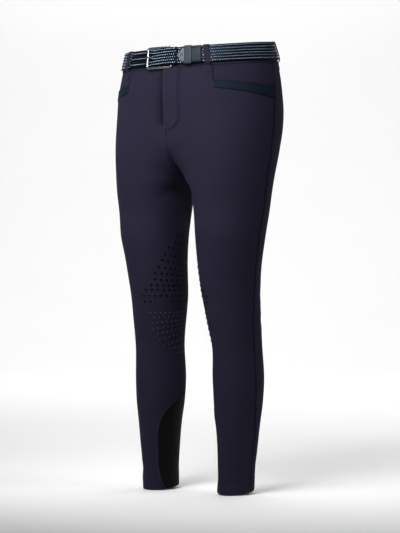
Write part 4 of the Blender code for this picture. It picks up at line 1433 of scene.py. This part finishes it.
def build_edges(strap, materials):
    """A thin cord along each edge of the strap."""
    sides = 7
    lengths = np.linspace(0.5 * MM, strap.total - 0.5 * MM, STRAP_STEPS)[:, None]
    ripple = 0.22 * MM * np.sin(2 * math.pi * lengths / STRAND_PITCH)
    x, y = np.array(circle(sides)).T
    cords = Gathered()
    for edge in (1, -1):
        height = edge * (BELT_HEIGHT / 2 - 0.7 * MM + ripple) + 0.85 * MM * x
        points = strap.place(lengths, height, BELT_BASE - 0.5 * MM + 0.95 * MM * y)
        cords.add(points.reshape(-1, 3), tube_faces(STRAP_STEPS, sides))
    turned_out(cords.piece("belt_edge_cords", materials["edge"], "plait"))


def build_tab(materials, threads):
    """The belt's leather end: pointed, with an eyelet before the keeper and dark leather after it."""
    angles = np.linspace(TAB_START + 3.2, TAB_END, 70)[:, None]
    grid = Grid(*on_waist(angles, BELT_MIDDLE + TAB_HALF * np.linspace(1, -1, 17)))
    rim, ends = grid.rim, np.minimum(grid.top, grid.foot)
    grid.lift -= 0.7 * MM * falling(rim, 1.6 * MM) + 0.5 * MM * falling(ends, 1.2 * MM)
    grid.lift += 0.25 * MM * bump(rim - 2.4 * MM, 0.8 * MM) - 0.2 * MM * bump(rim - 3.6 * MM, 0.5 * MM)
    # painted light along the rounded rim and painted shade in the stitch groove
    grid.tone += 0.4 * falling(rim, 1.4 * MM) - 0.3 * bump(rim - 3.6 * MM, 0.8 * MM)
    top = TAB_OUT + TAB_THICK
    obj = add_wall("belt_end", grid.moved(top), grid.moved(TAB_OUT), materials["hide"], grid.tone, 1)
    stand_for("belt_tab")
    threads.sew_sides(grid, 3.6 * MM, 2.6 * MM, 0.32 * MM, top)


def build_point(materials, threads):
    """The point that the keeper holds, its leather painted pale as its highlight: its tip lies towards the
    buckle.
    """
    start, end = TAB_START + 0.1, KEEPER_START + 0.6
    share = np.linspace(0, 1, 26)[:, None]
    reach = TAB_HALF * (0.16 + 0.84 * smooth(share * 1.25) ** 0.8)
    grid = Grid(*on_waist(start + (end - start) * share, BELT_MIDDLE + reach * np.linspace(1, -1, 17)))
    rim = np.minimum(grid.rim, grid.top)
    grid.lift -= 0.8 * MM * falling(rim, 1.8 * MM) + 0.25 * MM * bump(rim - 3.0 * MM, 0.6 * MM)
    # painted light along the rim and painted shade in the stitch groove
    grid.tone += 0.35 * falling(rim, 1.2 * MM) - 0.7 * bump(rim - 3.0 * MM, 0.7 * MM)
    lift = TAB_OUT + TAB_THICK + 0.15 * MM
    foot = grid.moved(TAB_OUT + 0.4 * MM, np.zeros_like(grid.lift))
    add_wall("belt_point", grid.moved(lift), foot, materials["pale"], grid.tone, 1)
    threads.sew_sides(grid, 3.0 * MM, 2.4 * MM, 0.32 * MM, lift, slice(8, None))
    point, out = on_waist(start + 0.56 * (end - start), BELT_MIDDLE)
    build_eyelet(point + out * (lift + 0.1 * MM), out, materials["dark_steel"])


def build_eyelet(centre, out, material):
    side = unit(np.cross(out, [0, 0, 1.0]))
    up = np.cross(side, out)
    radius, tube, around, sides = 2.2 * MM, 0.6 * MM, 28, 10
    vertices = []
    for x, y in circle(around):
        spoke = side * x + up * y
        vertices += [centre + spoke * (radius + tube * c) + out * tube * s for c, s in circle(sides)]
    faces = tube_faces(around, sides, closed=True)
    turned_out(finish_mesh("belt_eyelet", vertices, faces, material))


def bent_band(name, start, end, path, material, columns=17, edge_drop=0.35 * MM):
    """A closed strip with a rounded outline of (distance out, height) points, bent round the waist, and
    painted lighter along its rounded edges.
    """
    path = np.array(path)
    vertices, painted_shadings = [], []
    for j, angle in enumerate(np.linspace(start, end, columns)):
        share = float(falling(min(j, columns - 1 - j) / (columns - 1), 0.16))
        drop = edge_drop * share
        for out_by, z in path + (path.mean(axis=0) - path) * (drop / (12 * MM)):
            vertices.append(raised(on_waist, angle, z, out_by - drop * 0.6))
            # painted light along the strip's rounded edges
            painted_shadings.append(0.5 * share)
    return turned_out(finish_mesh(name, vertices, tube_faces(columns, len(path)), material, tone=painted_shadings))


def build_keeper(materials):
    top, foot = BELT_TOP + REST_GAP, BELT_TOP - BELT_HEIGHT - REST_GAP
    high = TAB_OUT + TAB_THICK + REST_GAP
    thick, ease = 1.5 * MM, 0.4 * MM

    def corner(z, start, end):
        bends = [math.radians(turn) for turn in np.linspace(start, end, 7)]
        reach = thick + ease
        return [(high - ease + reach * math.cos(bend), z + reach * math.sin(bend)) for bend in bends]

    path = [(BELT_IN, top + thick), *corner(top - ease, 90, 0)]
    path += [(high + thick + 0.12 * MM, z) for z in np.linspace(top - 3 * MM, foot + 3 * MM, 7)]
    path += [*corner(foot + ease, 0, -90), (BELT_IN, foot - thick)]
    path += [(BELT_IN, foot), (high, foot), (high, top), (BELT_IN, top)]
    obj = bent_band("belt_keeper_leather", KEEPER_START, KEEPER_END, path, materials["keeper"])
    stand_for("belt_keeper")


def frame_out(x):
    share = (x - BUCKLE_HINGE_X) / (BUCKLE_OUT_X - BUCKLE_HINGE_X)
    return HINGE_OUT + (BAR_OUT - HINGE_OUT) * share


def frame_ring():
    """The middle line of the buckle's frame, as (x, z) places in turn round its own middle."""
    centre_x = (BUCKLE_OUT_X + BUCKLE_HINGE_X) / 2
    half_x = (BUCKLE_HINGE_X - BUCKLE_OUT_X) / 2
    ring = []
    for corner, (sign_x, sign_z) in enumerate(((1, 1), (-1, 1), (-1, -1), (1, -1))):
        level = BELT_MIDDLE - (sign_z < 0) * 2.6 * MM
        for turn in np.linspace(0, 90, 11):
            angle = math.radians(90 * corner + turn)
            x = centre_x + sign_x * (half_x - BUCKLE_CORNER) + BUCKLE_CORNER * math.cos(angle)
            rise = sign_z * (BUCKLE_HALF_HEIGHT - BUCKLE_CORNER) + BUCKLE_CORNER * math.sin(angle)
            ring.append((x, level + rise))
        if sign_x == sign_z:
            bar = level + sign_z * BUCKLE_HALF_HEIGHT
            ring += [(centre_x + share * half_x, bar) for share in np.linspace(-0.75, 0.75, 9)]
        else:
            ring += [(centre_x + sign_x * half_x, BELT_MIDDLE + share * 9 * MM) for share in (-1, 0, 1)]
    ring.sort(key=lambda at: math.atan2(at[1] - BELT_MIDDLE, at[0] - centre_x))
    return [p for p, q in zip(ring, ring[1:] + ring[:1]) if math.dist(p, q) > 0.1 * MM]


def build_buckle(materials):
    """A flat-faced frame with softened edges, bent along the waist."""
    places = [raised(across_front, x, z, frame_out(x)) for x, z in frame_ring()]
    depth = np.array([0, 1.0, 0])
    turns = np.array(circle(16))
    section = np.copysign(np.abs(turns) ** 0.7, turns)
    vertices = []
    for i, centre in enumerate(places):
        across = unit(np.cross(places[(i + 1) % len(places)] - places[i - 1], depth))
        vertices += [centre + across * a * 2.2 * MM + depth * b * 1.5 * MM for a, b in section]
    faces = tube_faces(len(places), len(section), closed=True)
    obj = turned_out(finish_mesh("buckle_frame_metal", vertices, faces, materials["steel"]))
    stand_for("buckle_frame")


def build_prong(materials):
    """The prong's end rests on the outer bar and dips to the plaits behind it."""
    rest = BAR_OUT + ROD_RADIUS + REST_GAP
    strap = BELT_IN + BELT_BASE + RIB_HEIGHT + REST_GAP
    path = (
        (BUCKLE_OUT_X - 3.2 * MM, rest - 0.1 * MM, 0.9 * MM),
        (BUCKLE_OUT_X - 1.6 * MM, rest, 1.3 * MM),
        (BUCKLE_OUT_X + 2.2 * MM, rest, 1.5 * MM),
        (BUCKLE_OUT_X + 5.5 * MM, strap + 1.5 * MM, 1.5 * MM),
        (BUCKLE_OUT_X + 8.5 * MM, strap, 1.4 * MM),
    )
    count, sides = 22, 12
    vertices = []
    for x, low, half in rounded_path(path, count):
        for c, s in circle(sides):
            vertices.append(raised(across_front, x, BELT_MIDDLE + half * c, low + 0.8 * MM + 0.8 * MM * s))
    faces = tube_faces(count, sides)
    obj = turned_out(finish_mesh("buckle_prong_metal", vertices, faces, materials["dark_steel"]))
    stand_for("buckle_prong")


# The studio ---------------------------------------------------------------------------------------

FLOOR = -0.8990
VIEW_ANGLE = 33.5
VIEW_DISTANCE = 3.9
VIEW_HEIGHT = -0.444
LENS = 129.7
SENSOR = 36.0
PAPER_HALF_WIDTH = 14.0
PAPER_TURN = 1.6
WALL_DISTANCE = WALL_HEIGHT = 6.0
WORLD_STRENGTH = 0.08
UP = Vector((0, 0, 1))


def aimed(obj, target):
    obj.rotation_euler = (Vector(target) - obj.location).to_track_quat("-Z", "Y").to_euler()
    return obj


def build_paper(back, side):
    """A sweep of pale paper: the floor, rounded up into a wall behind."""
    turn_start = WALL_DISTANCE - PAPER_TURN
    profile = [(-PAPER_HALF_WIDTH, 0.0), (turn_start, 0.0)]
    for turn in range(10, 91, 10):
        bend = math.radians(turn)
        profile.append((turn_start + PAPER_TURN * math.sin(bend), PAPER_TURN - PAPER_TURN * math.cos(bend)))
    profile.append((WALL_DISTANCE, WALL_HEIGHT))
    vertices = []
    for depth, rise in profile:
        for across in (-PAPER_HALF_WIDTH, PAPER_HALF_WIDTH):
            vertices.append(back * depth + side * across + UP * (FLOOR + rise))
    faces = [[2 * i, 2 * i + 1, 2 * i + 3, 2 * i + 2] for i in range(len(profile) - 1)]
    mesh = bpy.data.meshes.new("studio_sweep")
    mesh.from_pydata(vertices, [], faces)
    mesh.shade_smooth()
    n = Nodes("studio_paper")
    grey = n.mix(n.noise(n.on_object(), 3, 3), (0.66, 0.66, 0.66, 1), (0.68, 0.68, 0.68, 1))
    mesh.materials.append(n.finished(Base_Color=grey, Roughness=0.9))
    sweep = link(bpy.data.objects.new("studio_sweep", mesh))


def area_light(name, place_at, target, size, power, glossy=True, spread=180):
    light = bpy.data.lights.new(name, "AREA")
    light.shape = "RECTANGLE"
    light.size, light.size_y = size
    light.energy = power
    light.spread = math.radians(spread)
    obj = link(bpy.data.objects.new(name, light))
    obj.location = place_at
    obj.visible_glossy = glossy
    aimed(obj, target)


def build_studio():
    turn = math.radians(VIEW_ANGLE)
    back = Vector((-math.sin(turn), math.cos(turn), 0))
    side = Vector((math.cos(turn), math.sin(turn), 0))
    eye = -back
    build_paper(back, side)

    world = bpy.data.worlds.new("studio")
    world.use_nodes = True
    sky = world.node_tree.nodes["Background"].inputs
    sky["Color"].default_value = (1, 1, 1, 1)
    sky["Strength"].default_value = WORLD_STRENGTH
    bpy.context.scene.world = world

    area_light("key", eye * 0.95 - side * 0.48 + UP * 0.55, UP * -0.25, (0.7, 0.7), 8.0, spread=80)
    area_light("rear", back * 1.5 + side * 2.2 + UP * 0.7, UP * -0.2, (1.0, 1.2), 16, False)
    area_light("fill", eye * 1.2 + side * 2.4 + UP * 0.75, UP * -0.02, (1.0, 1.0), 24, False)
    area_light("left", eye * 0.62 - side * 0.85 + UP * 0.12, UP * -0.26, (0.3, 0.4), 2.3, False, 100)
    area_light("top", UP * 2.4 + back * 1.1, back * 0.9 + UP * FLOOR, (2.4, 1.4), 20)
    area_light("backdrop", back * 2.9 + UP * 3.2, back * 5.6 - UP * 0.5, (6.0, 1.4), 290)

    camera = bpy.data.cameras.new("camera")
    camera.lens, camera.sensor_width = LENS, SENSOR
    eye_at = link(bpy.data.objects.new("camera", camera))
    eye_at.location = eye * VIEW_DISTANCE + UP * VIEW_HEIGHT
    aimed(eye_at, UP * VIEW_HEIGHT)
    bpy.context.scene.camera = eye_at
    bpy.context.scene.view_settings.view_transform = "Standard"
    bpy.context.scene.view_settings.look = "None"


def main():
    for old in list(bpy.data.objects):
        bpy.data.objects.remove(old)
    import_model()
    materials = make_materials()
    threads, dark = Threads(), Threads()
    fronts = {}
    for side, tail in ((-1, "_right"), (1, "_left")):
        fronts[side] = build_leg(side, tail, materials, threads, dark)
        build_pocket(side, tail, materials, threads, dark)
    build_fly(materials, dark)
    build_waistband(materials, threads)
    build_loops(materials, threads)
    build_grips(fronts, materials)
    strap = Strap()
    build_core(strap, materials)
    build_plait(strap, materials)
    build_edges(strap, materials)
    build_tab(materials, threads)
    build_point(materials, threads)
    build_keeper(materials)
    build_buckle(materials)
    build_prong(materials)
    threads.piece("seam_stitches", materials["thread"], "cloth")
    dark.piece("dark_stitches", materials["dark_thread"], "cloth")
    build_studio()


main()
